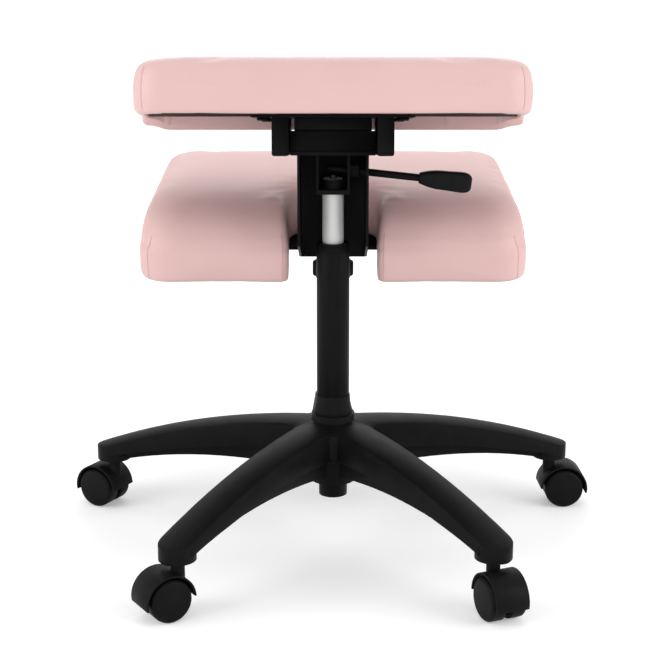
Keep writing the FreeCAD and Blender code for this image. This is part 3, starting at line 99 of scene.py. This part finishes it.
def noise(tree, place, scale, detail=2.0):
    """Cloudy noise with a number of cells to the metre."""
    return node(tree, "ShaderNodeTexNoise", {"Vector": place, "Scale": scale,
                                             "Detail": detail}).outputs["Fac"]


def relief(tree, shader, height, depth, strength=1.0):
    """Small relief on the surface, its depth in metres."""
    bump = node(tree, "ShaderNodeBump", {"Height": height, "Distance": depth,
                                         "Strength": strength})
    tree.links.new(bump.outputs["Normal"], shader.inputs["Normal"])


def moulded_nylon(name, dark, light, grain=2600.0):
    """Black nylon: eroded grain, and cloudy gloss where the mould is worn."""
    material, tree, shader, place = new_finish(name)
    cloud = noise(tree, place, 34.0, 4.0)
    speck = noise(tree, place, grain, 3.0)
    tree.links.new(blend_colours(tree, cloud, dark, light), shader.inputs["Base Color"])
    tree.links.new(between(tree, cloud, 0.44, 0.58), shader.inputs["Roughness"])
    shader.inputs["Specular IOR Level"].default_value = 0.07
    relief(tree, shader, speck, 0.00006, 0.55)
    return material


def turned_steel(name, colour, rough):
    """Turned steel: fine rings round the piece and a cloudy film of oil."""
    material, tree, shader, place = new_finish(name)
    cloud = noise(tree, place, 60.0, 3.0)
    rings = node(tree, "ShaderNodeTexNoise", {
        "Vector": node(tree, "ShaderNodeMapping",
                       {"Vector": place, "Scale": (2.0, 2.0, 5200.0)}).outputs["Vector"],
        "Scale": 1.0, "Detail": 2.0}).outputs["Fac"]
    shader.inputs["Base Color"].default_value = (*colour, 1.0)
    shader.inputs["Metallic"].default_value = 1.0
    tree.links.new(between(tree, cloud, rough, rough + 0.12), shader.inputs["Roughness"])
    relief(tree, shader, rings, 0.00002, 0.5)
    return material


def dress(finish, *nodes):
    """Give CAD nodes a finish."""
    for name in nodes:
        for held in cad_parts[name].material_slots:
            held.material = finish


def rounded_copy(name, body, finish, width, angle=32.0):
    """A CAD node with its edges rounded: its triangles are merged and their flats
    dissolved, and a bevel of the given width runs along each edge sharper than angle."""
    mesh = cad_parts[name].data.copy()
    mesh.name = name + "_rounded"
    shaped = bmesh.new()
    shaped.from_mesh(mesh)
    bmesh.ops.remove_doubles(shaped, verts=shaped.verts, dist=2e-6)
    bmesh.ops.dissolve_limit(shaped, angle_limit=math.radians(1.2), verts=shaped.verts,
                             edges=shaped.edges)
    shaped.to_mesh(mesh)
    shaped.free()
    mesh.shade_smooth()
    piece = bpy.data.objects.new(name + "_rounded", mesh)
    bpy.context.collection.objects.link(piece)
    mesh.materials.clear()
    mesh.materials.append(finish)
    bevel = piece.modifiers.new("edges", "BEVEL")
    bevel.width = width
    bevel.segments = 2
    bevel.limit_method = "ANGLE"
    bevel.angle_limit = math.radians(angle)
    bevel.harden_normals = True
    bevel.use_clamp_overlap = True
    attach(piece, body)
    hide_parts(name)
    return piece


castor_nylon = moulded_nylon("castor_nylon", (0.0040, 0.0040, 0.0042), (0.0070, 0.0070, 0.0073))
castor_steel = turned_steel("castor_steel", (0.60, 0.60, 0.59), 0.30)
for place in ("side_right", "front", "side_left", "rear_left", "rear_right"):
    body = "caster_" + place
    dress(castor_steel, body + "_stem", body + "_axle")
    rounded_copy(body + "_hood", body, castor_nylon, 0.0007)
    for side in ("left", "right"):
        rounded_copy(body + "_wheel_" + side, body + "_wheel_" + side, castor_nylon,
                     0.0012, 24.0)

# Star base. Five hollow arms and the hub are one injection moulding in black
# glass-filled nylon, ribbed below, with a steel socket pressed in each boss.

base_nylon = moulded_nylon("base_nylon", (0.0036, 0.0036, 0.0038), (0.0062, 0.0062, 0.0065))
rounded_copy("star_base", "base", base_nylon, 0.0016)
dress(castor_steel, "caster_sockets")

# Column. A drawn steel tube, powder-coated black, stands in the hub's taper with a
# plastic collar round its foot, a guide bush in its mouth and a bearing inside.


def powder_coat(name, dark, light):
    """Black powder coat on steel: orange peel, and a satin sheen of cloudy tone."""
    material, tree, shader, place = new_finish(name)
    cloud = noise(tree, place, 22.0, 4.0)
    peel = noise(tree, place, 900.0, 2.0)
    tree.links.new(blend_colours(tree, cloud, dark, light), shader.inputs["Base Color"])
    tree.links.new(between(tree, cloud, 0.40, 0.52), shader.inputs["Roughness"])
    shader.inputs["Specular IOR Level"].default_value = 0.06
    relief(tree, shader, peel, 0.00008, 0.45)
    return material


column_coat = powder_coat("column_coat", (0.0035, 0.0035, 0.0037), (0.0060, 0.0060, 0.0063))
rounded_copy("column_tube", "base", column_coat, 0.0006)
rounded_copy("column_collar", "base", base_nylon, 0.0006)
dress(base_nylon, "column_guide")
dress(castor_steel, "thrust_bearing", "retaining_clip")

# Gas lift. The cylinder is ground and polished steel that slides in the column's
# bush, drawn in a pale, barely metallic grey: painted brightness in place of mirrored light.
# The piston rod and the clamp's stud are as bright, and the valve pin is coloured near-black as
# painted shade.


def painted_bright_tube(name, colour):
    """Ground steel tube: long draw marks down its length and a film of oil, over a pale, barely
    metallic grey that is painted brightness in place of mirrored light.
    """
    material, tree, shader, place = new_finish(name)
    marks = node(tree, "ShaderNodeTexNoise", {
        "Vector": node(tree, "ShaderNodeMapping",
                       {"Vector": place, "Scale": (900.0, 900.0, 9.0)}).outputs["Vector"],
        "Scale": 1.0, "Detail": 3.0}).outputs["Fac"]
    film = noise(tree, place, 45.0, 3.0)
    shader.inputs["Base Color"].default_value = (*colour, 1.0)
    # Almost no metal on a pale grey: a painted reflection, bright where polished steel would
    # mirror the dark bracket.
    shader.inputs["Metallic"].default_value = 0.06
    tree.links.new(between(tree, film, 0.32, 0.44), shader.inputs["Roughness"])
    relief(tree, shader, marks, 0.00001, 0.35)
    return material


lift_steel_painted_bright = painted_bright_tube("lift_steel_painted_bright", (0.72, 0.72, 0.71))
dress(lift_steel_painted_bright, "lift_cylinder", "piston_rod", "clamp_stud")
# The valve pin's near-black colour is painted shade: the dark inside the lift bracket.
dress(turned_steel("painted_shade_steel", (0.06, 0.06, 0.06), 0.5), "valve_pin")

# Steel frame. Two folded brackets, the pan, the spacer tray, the seat plate and two
# rectangular tubes are sheet steel, welded, bolted through and powder-coated black.

frame_coat = powder_coat("frame_coat", (0.0028, 0.0028, 0.0030), (0.0052, 0.0052, 0.0055))
for name, width in (("lift_bracket", 0.0005), ("main_bracket", 0.0007), ("seat_pan", 0.0009),
                    ("spacer_tray", 0.0006), ("seat_plate", 0.0004), ("seat_rail_left", 0.0006),
                    ("seat_rail_right", 0.0006), ("rail_washers", 0.0002),
                    ("frame_bolts", 0.0004), ("frame_nuts", 0.0004)):
    rounded_copy(name, "upper", frame_coat, width)
rounded_copy("rail_caps", "upper", base_nylon, 0.0005)
rounded_copy("seat_screws", "upper", frame_coat, 0.0014)

# Lever. A steel rod bent flat at its inner end turns on a pin over the valve, with
# a soft-touch nylon grip pushed on its outer end.

rounded_copy("lever_rod", "lever", frame_coat, 0.0004)
dress(frame_coat, "lever_pin")
grip_nylon = moulded_nylon("grip_nylon", (0.0045, 0.0048, 0.0048), (0.0080, 0.0084, 0.0084),
                           1900.0)
rounded_copy("lever_grip", "lever", grip_nylon, 0.0008)

# Knee bracket. A square bar on a flat plate slides in a sleeve under the main
# bracket, clamped by a moulded hand knob on a steel stud.

rounded_copy("knee_sleeve", "upper", frame_coat, 0.0005)
rounded_copy("knee_arm", "knee", frame_coat, 0.0005)
rounded_copy("knee_plate", "knee", frame_coat, 0.0005)
rounded_copy("knee_screws", "knee", frame_coat, 0.0014)
rounded_copy("clamp_knob", "knob", grip_nylon, 0.0010)

# Boards. Both pads stand on twelve-millimetre plywood, stained black, with the
# layers of veneer showing faintly at the cut edge.


def stained_plywood(name):
    """Black-stained plywood: long grain across the board and layers through its edge."""
    material, tree, shader, place = new_finish(name)
    long_grain = node(tree, "ShaderNodeTexNoise", {
        "Vector": node(tree, "ShaderNodeMapping",
                       {"Vector": place, "Scale": (18.0, 420.0, 60.0)}).outputs["Vector"],
        "Scale": 1.0, "Detail": 5.0}).outputs["Fac"]
    tree.links.new(blend_colours(tree, long_grain, (0.0030, 0.0028, 0.0027),
                                 (0.0075, 0.0068, 0.0062)), shader.inputs["Base Color"])
    tree.links.new(between(tree, long_grain, 0.62, 0.80), shader.inputs["Roughness"])
    shader.inputs["Specular IOR Level"].default_value = 0.05
    relief(tree, shader, long_grain, 0.00012, 0.6)
    return material


board_stain = stained_plywood("board_stain")
dress(board_stain, "seat_board", "knee_board")

# Seat pad. Moulded foam on the board, covered in a dusty-pink leatherette that is
# sewn at the four corners, drawn round the board's edge and stapled below. At the
# front the foam rolls down over the board.


def leatherette(name, dark, light):
    """Smooth leatherette: a fine pebble grain, soft cloudy colour and a dull sheen."""
    material, tree, shader, place = new_finish(name)
    cloud = noise(tree, place, 9.0, 3.0)
    pebble = node(tree, "ShaderNodeTexVoronoi", {"Vector": place, "Scale": 900.0},
                  feature="SMOOTH_F1").outputs["Distance"]
    pores = noise(tree, place, 2400.0, 2.0)
    height = node(tree, "ShaderNodeMath", {0: pebble, 1: pores}, operation="ADD").outputs[0]
    tree.links.new(blend_colours(tree, cloud, dark, light), shader.inputs["Base Color"])
    tree.links.new(between(tree, pebble, 0.42, 0.54), shader.inputs["Roughness"])
    shader.inputs["Specular IOR Level"].default_value = 0.32
    shader.inputs["Sheen Weight"].default_value = 0.06
    shader.inputs["Sheen Roughness"].default_value = 0.5
    relief(tree, shader, height, 0.00010, 0.35)
    return material


def rounded_outline(corners, radii, arc_points=10, side_points=14):
    """Polygon with rounded corners, as points in order. At each corner of half angle a
    the arc starts r / tan(a) back along the side and its centre lies r / sin(a) along
    the bisector; the arc is swept evenly from its start to its end."""
    corners, radii = np.asarray(corners, float), np.asarray(radii, float)[:, None]
    back = np.roll(corners, 1, 0) - corners
    ahead = np.roll(corners, -1, 0) - corners
    back /= np.linalg.norm(back, axis=1)[:, None]
    ahead /= np.linalg.norm(ahead, axis=1)[:, None]
    half = np.arccos(np.clip((back * ahead).sum(1), -1, 1))[:, None] / 2
    middle = back + ahead
    middle /= np.linalg.norm(middle, axis=1)[:, None]
    start, end = corners + back * radii / np.tan(half), corners + ahead * radii / np.tan(half)
    centre = corners + middle * radii / np.sin(half)
    first = np.arctan2(*(start - centre).T[::-1])
    sweep = np.arctan2(*(end - centre).T[::-1]) - first
    sweep = (sweep + np.pi) % (2 * np.pi) - np.pi
    share = np.linspace(0, 1, arc_points)[None, :]
    angle = first[:, None] + sweep[:, None] * share
    arcs = centre[:, None] + radii[:, None] * np.stack([np.cos(angle), np.sin(angle)], 2)
    following = np.roll(start, -1, 0)
    share = np.linspace(0, 1, side_points + 2)[None, 1:-1, None]
    sides = end[:, None] + (following - end)[:, None] * share
    return np.concatenate([arcs, sides], 1).reshape(-1, 2)


def stacked_rings(rings):
    """Closed form through rings of equal count, from its lowest to its highest: quads
    between neighbours and one polygon at each end."""
    count = len(rings[0])
    points = np.concatenate(rings)
    around = np.arange(count)
    beside = np.roll(around, -1)
    level = (np.arange(len(rings) - 1) * count)[:, None]
    quads = np.stack([level + around, level + beside, level + count + beside,
                      level + count + around], 2).reshape(-1, 4)
    last = (len(rings) - 1) * count + around
    return points, [*quads.tolist(), around[::-1].tolist(), last.tolist()]


def in_frame(points, origin, tilt):
    """Points of a pad's own frame brought upright: turned about X, then moved."""
    turn = math.radians(tilt)
    x, y, z = points.T
    return np.stack([x, origin[1] + y * math.cos(turn) - z * math.sin(turn),
                     origin[2] + y * math.sin(turn) + z * math.cos(turn)], 1)


def out_of_frame(points, origin, tilt):
    """Upright points brought to a pad's own frame, the other way round."""
    turn = math.radians(tilt)
    x, y, z = points[:, 0], points[:, 1] - origin[1], points[:, 2] - origin[2]
    return np.stack([x, y * math.cos(turn) + z * math.sin(turn),
                     z * math.cos(turn) - y * math.sin(turn)], 1)


def read_points(mesh):
    """All vertex places of a mesh, as an array."""
    flat = np.empty(len(mesh.vertices) * 3)
    mesh.vertices.foreach_get("co", flat)
    return flat.reshape(-1, 3)


def write_points(mesh, points):
    """Put an array of places back into a mesh."""
    mesh.vertices.foreach_set("co", points.ravel())
    mesh.update()


def bake_modifiers(piece):
    """Replace a piece's mesh by what its modifiers make of it."""
    depsgraph = bpy.context.evaluated_depsgraph_get()
    done = bpy.data.meshes.new_from_object(piece.evaluated_get(depsgraph))
    piece.modifiers.clear()
    piece.data = done


SKIN_CELL = 0.0044
SWELL_STEPS, SWELL_PRESSURE, SWELL_CAP = 20, 4.0, 0.003


def foam_pad(name, forms, finish):
    """Padded piece from closed forms: remeshed to one skin, eased, swelled as cloth by a
    little pressure with each point held within a cap of its start, and subdivided."""
    points = np.concatenate([form[0] for form in forms])
    starts = np.cumsum([0] + [len(form[0]) for form in forms[:-1]])
    faces = [[corner + start for corner in face]
             for form, start in zip(forms, starts.tolist()) for face in form[1]]
    mesh = bpy.data.meshes.new(name)
    mesh.from_pydata(points.tolist(), [], faces)
    piece = bpy.data.objects.new(name, mesh)
    bpy.context.collection.objects.link(piece)
    remesh = piece.modifiers.new("skin", "REMESH")
    remesh.mode = "VOXEL"
    remesh.voxel_size = SKIN_CELL
    ease = piece.modifiers.new("ease", "SMOOTH")
    ease.factor = 0.5
    ease.iterations = 3
    bake_modifiers(piece)
    start = read_points(piece.data)
    cloth = piece.modifiers.new("cloth", "CLOTH")
    cloth.settings.use_pressure = True
    cloth.settings.uniform_pressure_force = SWELL_PRESSURE
    cloth.settings.effector_weights.gravity = 0.0
    cloth.point_cache.frame_start = 1
    cloth.point_cache.frame_end = SWELL_STEPS
    for number in range(1, SWELL_STEPS + 1):
        bpy.context.scene.frame_set(number)
    bake_modifiers(piece)
    bpy.context.scene.frame_set(1)
    moved = read_points(piece.data) - start
    length = np.linalg.norm(moved, axis=1)[:, None]
    swell = moved * np.minimum(1.0, SWELL_CAP / np.maximum(length, 1e-9))
    write_points(piece.data, start + swell)
    finer = piece.modifiers.new("finer", "SUBSURF")
    finer.levels = finer.render_levels = 1
    bake_modifiers(piece)
    piece.data.materials.clear()
    piece.data.materials.append(finish)
    piece.data.shade_smooth()
    return piece


SEAM_RADIUS = 0.0006


def sewn_seams(name, pad, lines, finish):
    """Raised seams as thin tubes along lines laid on a pad: each point of a line is
    moved to the nearest place on the cover, and the tube stands half out of it."""
    cover = bmesh.new()
    cover.from_mesh(pad.data)
    near = BVHTree.FromBMesh(cover)
    curve = bpy.data.curves.new(name, "CURVE")
    curve.dimensions = "3D"
    curve.bevel_depth = SEAM_RADIUS
    curve.bevel_resolution = 2
    curve.use_fill_caps = True
    for line in lines:
        spline = curve.splines.new("POLY")
        spline.points.add(len(line) - 1)
        for held, point in zip(spline.points, line):
            held.co = (*near.find_nearest(Vector(point))[0], 1.0)
    cover.free()
    drawn = bpy.data.objects.new(name, curve)
    bpy.context.collection.objects.link(drawn)
    depsgraph = bpy.context.evaluated_depsgraph_get()
    mesh = bpy.data.meshes.new_from_object(drawn.evaluated_get(depsgraph))
    bpy.data.objects.remove(drawn)
    seam = bpy.data.objects.new(name, mesh)
    bpy.context.collection.objects.link(seam)
    mesh.materials.clear()
    mesh.materials.append(finish)
    mesh.shade_smooth()
    return seam


BOARD_BITE = 0.005


def lift_over_board(points, outline):
    """Raise the underside inside a board's outline into the board, so that the board
    closes the pad from below. A point is inside when a ray along X crosses an odd
    number of the outline's sides."""
    first, second = outline, np.roll(outline, -1, 0)
    x, y = points[:, :1], points[:, 1:2]
    spans = (first[:, 1] > y) != (second[:, 1] > y)
    run = (second[:, 0] - first[:, 0]) * (y - first[:, 1])
    rise = np.where(second[:, 1] == first[:, 1], 1.0, second[:, 1] - first[:, 1])
    inside = (spans & (x < first[:, 0] + run / rise)).sum(1) % 2 == 1
    low = inside & (points[:, 2] < BOARD_BITE)
    points[low, 2] = BOARD_BITE
    return points


# Each row is one ring: its share of the pad's height, and how many millimetres its
# rear, its sides and its front are drawn in there.
MM = 0.001
seat_origin, seat_tilt = (0.0, -0.195, 0.5555), -8.6
SEAT_THICK, SEAT_LIP = 0.0592, 0.002
seat_layers = np.array([
    (0.0, 2.5, 3.0, 1.5), (0.07, 0.8, 1.0, 0.5), (0.14, 0.3, 0.3, 0.2), (0.41, 0.0, 0.0, 0.0),
    (0.55, 0.2, 0.4, 1.2), (0.69, 1.0, 1.8, 4.0), (0.78, 2.0, 3.0, 7.5), (0.85, 3.5, 5.0, 12.0),
    (0.93, 9.0, 14.0, 24.0), (0.97, 20.0, 32.0, 42.0), (0.99, 40.0, 58.0, 66.0),
    (1.0, 70.0, 90.0, 100.0)]) * (1.0, MM, MM, MM)


def seat_ring(share, rear, side, front, shrink):
    """One ring of the seat pad: the outline drawn in at its rear, sides and front. The
    lowest ring hangs by the lip below the board's upper face."""
    back, ahead = 0.2155 - side - shrink, 0.2465 - side - shrink
    low, high = rear - 0.0085 + shrink, 0.3355 - front - shrink
    outline = rounded_outline([(-back, low), (back, low), (ahead, high), (-ahead, high)],
                              [0.034] * 4)
    level = np.full(len(outline), share * (SEAT_THICK + SEAT_LIP - shrink) - SEAT_LIP)
    return np.column_stack([outline, level])


# Each pair is one ring of a roll: its share of the drop, and its inset in millimetres.
ROLL_RINGS = ((1.0, 3.0), (0.95, 1.2), (0.87, 0.4), (0.5, 0.0), (0.0, 0.0), (-0.4, 0.0))


def foam_roll(left, right, board_side, edge, drop, radii, shrink):
    """Soft roll under a pad's edge, from its bottom up into the pad: rounded rectangles
    drawn in towards the bottom. The radii are those of its left and right end."""
    outward = 1 if edge > board_side else -1
    rings = []
    for share, inset in ROLL_RINGS:
        inset = inset * MM + shrink
        near, far = board_side + outward * inset / 3, edge - outward * inset
        outline = rounded_outline(
            [(left + inset, near), (right - inset, near), (right - inset, far),
             (left + inset, far)], [0.002, 0.002, radii[1] - inset, radii[0] - inset])
        rings.append(np.column_stack([outline, np.full(len(outline), -(drop - shrink) * share)]))
    if outward < 0:
        rings = [ring[::-1] for ring in rings]
    return rings


pink = leatherette("pink_leatherette", (0.680, 0.445, 0.430), (0.715, 0.475, 0.460))
SHRINK = 0.0006
seat_forms = [
    stacked_rings([in_frame(seat_ring(*layer, SHRINK), seat_origin, seat_tilt)
                   for layer in seat_layers]),
    stacked_rings([in_frame(ring, seat_origin, seat_tilt) for ring in foam_roll(
        -0.240, 0.240, 0.291, 0.332, 0.0140, (0.033, 0.033), SHRINK)])]
seat_pad = foam_pad("seat_pad", seat_forms, pink)
seat_board_outline = rounded_outline([(-0.1995, 0.0), (0.1995, 0.0), (0.228, 0.290),
                                      (-0.228, 0.290)], [0.024] * 4)
seat_points = out_of_frame(read_points(seat_pad.data), seat_origin, seat_tilt)
seat_points = lift_over_board(seat_points, seat_board_outline)
write_points(seat_pad.data, in_frame(seat_points, seat_origin, seat_tilt))
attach(seat_pad, "upper")
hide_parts("seat_cushion")

seam_thread = leatherette("seam_leatherette", (0.620, 0.390, 0.375), (0.660, 0.420, 0.405))
SEAT_SEAM_POINTS, SEAT_SEAM_ACROSS = 24, 0.207
seat_corners = []
for side in (-1, 1):
    rise = np.linspace(0.002, 0.054, SEAT_SEAM_POINTS)
    across = np.full(SEAT_SEAM_POINTS, side * SEAT_SEAM_ACROSS)
    edge = np.column_stack([across, np.zeros(SEAT_SEAM_POINTS), rise])
    seat_corners.append(in_frame(edge, seat_origin, seat_tilt).tolist())
seat_seams = sewn_seams("seat_seams", seat_pad, seat_corners, seam_thread)
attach(seat_seams, "upper")

# Knee pad. The same foam and cover on its own board, with a round-ended notch that
# leaves room for the column and a deep roll at the rear that the shins rest on.

# Each row is one ring, as for the seat, and its last number is how far the notch has
# opened there.
knee_origin, knee_tilt = (0.0, 0.059, 0.354), 8.0
KNEE_THICK = 0.0625
knee_layers = np.array([
    (0.0, 0.5, 1.0, 3.0, 0.0), (0.07, 0.1, 0.3, 1.2, 0.0), (0.15, 0.0, 0.0, 1.0, 0.0),
    (0.39, 4.5, 0.6, 0.0, 0.3), (0.62, 15.0, 3.6, 1.2, 1.0), (0.72, 22.0, 5.6, 2.0, 1.6),
    (0.80, 30.0, 8.0, 3.5, 2.5), (0.905, 46.0, 13.5, 8.0, 6.0), (0.96, 62.0, 24.0, 17.0, 12.0),
    (0.99, 78.0, 47.0, 38.0, 20.0), (1.0, 90.0, 73.0, 62.0, 30.0)]) * (
        1.0, MM, MM, MM, MM)


def notched_outline(rear_half, front_half, rear, front, radii, half, depth, mouth):
    """Outline of a pad or board with a round-ended notch in its rear edge. The radii are
    those of its rear and front corners, and the notch's end is nearly a half circle."""
    return rounded_outline(
        [(-rear_half, rear), (-half, rear), (-half, depth), (half, depth), (half, rear),
         (rear_half, rear), (front_half, front), (-front_half, front)],
        [radii[0], mouth, half * 0.999, half * 0.999, mouth, radii[0], radii[1], radii[1]])


def knee_ring(share, rear, side, front, notch, shrink):
    """One ring of the knee pad: the outline drawn in, with its notch opened."""
    half = 0.055 + notch + shrink
    outline = notched_outline(0.2430 - side - shrink, 0.2275 - side - shrink,
                              rear - 0.055 + shrink, 0.226 - front - shrink, (0.040, 0.028), half,
                              0.062 + notch + shrink, 0.006)
    level = np.full(len(outline), share * (KNEE_THICK - shrink))
    return np.column_stack([outline, level])


knee_forms = [stacked_rings([in_frame(knee_ring(*layer, SHRINK), knee_origin, knee_tilt)
                             for layer in knee_layers])]
for left, right, radii in ((-0.2425, -0.0555, (0.038, 0.008)), (0.0555, 0.2425, (0.008, 0.038))):
    knee_forms.append(stacked_rings([
        in_frame(ring, knee_origin, knee_tilt) for ring in foam_roll(
            left, right, -0.011, -0.0560, 0.0300, radii, SHRINK)]))
knee_pad = foam_pad("knee_pad", knee_forms, pink)
knee_board_outline = notched_outline(0.223, 0.210, -0.010, 0.214, (0.024, 0.024), 0.064, 0.071,
                                     0.008)
knee_points = out_of_frame(read_points(knee_pad.data), knee_origin, knee_tilt)
knee_points = lift_over_board(knee_points, knee_board_outline)
write_points(knee_pad.data, in_frame(knee_points, knee_origin, knee_tilt))
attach(knee_pad, "knee")
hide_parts("knee_cushion")

KNEE_SEAM_POINTS, KNEE_SEAM_REACH = 30, -0.052
knee_lines = []
for side in (-1, 1):
    rise = np.linspace(-0.026, 0.040, KNEE_SEAM_POINTS)
    reach = np.full(KNEE_SEAM_POINTS, KNEE_SEAM_REACH)
    for across in (0.062, 0.231):
        edge = np.column_stack([np.full(KNEE_SEAM_POINTS, side * across), reach, rise])
        knee_lines.append(in_frame(edge, knee_origin, knee_tilt).tolist())
knee_seams = sewn_seams("knee_seams", knee_pad, knee_lines, seam_thread)
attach(knee_seams, "knee")

# Floor and light. A seamless white studio floor between soft boxes, with a white
# surround that also shows in the polished steel. The floor's glow is painted light, weaker near
# the chair.


def shown_directly(tree):
    """1 for the rays that show a thing to the eye: straight, mirrored or through."""
    rays = node(tree, "ShaderNodeLightPath")
    shown = rays.outputs["Is Camera Ray"]
    for kind in ("Is Glossy Ray", "Is Transmission Ray"):
        shown = node(tree, "ShaderNodeMath", {0: shown, 1: rays.outputs[kind]},
                     operation="MAXIMUM").outputs[0]
    return shown


FLOOR_REACH = 30.0
GLOW_START, GLOW_END, GLOW_NEAR, GLOW_FAR = 0.5, 2.2, 0.28, 0.50
floor_mesh = bpy.data.meshes.new("floor")
floor_mesh.from_pydata([(-FLOOR_REACH, -FLOOR_REACH, 0), (FLOOR_REACH, -FLOOR_REACH, 0),
                        (FLOOR_REACH, FLOOR_REACH, 0), (-FLOOR_REACH, FLOOR_REACH, 0)],
                       [], [(0, 1, 2, 3)])
floor = bpy.data.objects.new("floor", floor_mesh)
bpy.context.collection.objects.link(floor)
floor_white, floor_tree, floor_shader, floor_place = new_finish("floor_white")
floor_shader.inputs["Base Color"].default_value = (0.90, 0.90, 0.90, 1.0)
floor_shader.inputs["Roughness"].default_value = 0.9
floor_shader.inputs["Specular IOR Level"].default_value = 0.0
# Painted light on the floor: it glows where seen straight or mirrored, lifting its shadows, and
# glows less near the chair than far off, which paints the ground round the chair darker.
away = node(floor_tree, "ShaderNodeVectorMath", {0: floor_place}, operation="LENGTH")
glow_less_near_chair = node(floor_tree, "ShaderNodeMapRange", {
    "Value": away.outputs["Value"], "From Min": GLOW_START, "From Max": GLOW_END,
    "To Min": GLOW_NEAR, "To Max": GLOW_FAR}, interpolation_type="SMOOTHSTEP")
glow = node(floor_tree, "ShaderNodeMath", {0: shown_directly(floor_tree),
                                           1: glow_less_near_chair.outputs["Result"]},
            operation="MULTIPLY").outputs[0]
floor_shader.inputs["Emission Color"].default_value = (1.0, 1.0, 1.0, 1.0)
floor_tree.links.new(glow, floor_shader.inputs["Emission Strength"])
floor_mesh.materials.append(floor_white)

SKY_LIGHT, SKY_WHITE = 0.60, 1.02
surround = bpy.data.worlds.new("surround")
surround.use_nodes = True
bpy.context.scene.world = surround
sky = surround.node_tree
level = node(sky, "ShaderNodeMapRange", {"Value": shown_directly(sky), "To Min": SKY_LIGHT,
                                         "To Max": SKY_WHITE})
background = sky.nodes["Background"]
background.inputs["Color"].default_value = (1.0, 1.0, 1.0, 1.0)
sky.links.new(level.outputs["Result"], background.inputs["Strength"])


def soft_box(name, place, target, width, height, watts):
    """Rectangular soft box at a place, facing a target."""
    lamp = bpy.data.lights.new(name, "AREA")
    lamp.shape = "RECTANGLE"
    lamp.size, lamp.size_y, lamp.energy = width, height, watts
    held = bpy.data.objects.new(name, lamp)
    held.location = place
    held.rotation_euler = (Vector(target) - Vector(place)).to_track_quat("-Z", "Y").to_euler()
    bpy.context.collection.objects.link(held)


soft_box("overhead", (0.0, 0.5, 2.6), (0.0, 0.1, 0.3), 2.4, 1.8, 10.0)
soft_box("ahead", (0.0, 2.4, 1.5), (0.0, 0.1, 0.4), 2.0, 1.4, 14.0)
soft_box("behind", (0.0, -2.6, 0.45), (0.0, 0.0, 0.45), 2.4, 0.8, 10.0)
for side in (-1, 1):
    soft_box("beside", (side * 2.1, -0.9, 1.15), (0.0, 0.08, 0.43), 1.6, 0.8, 24.0)

bpy.context.scene.view_settings.view_transform = "Standard"
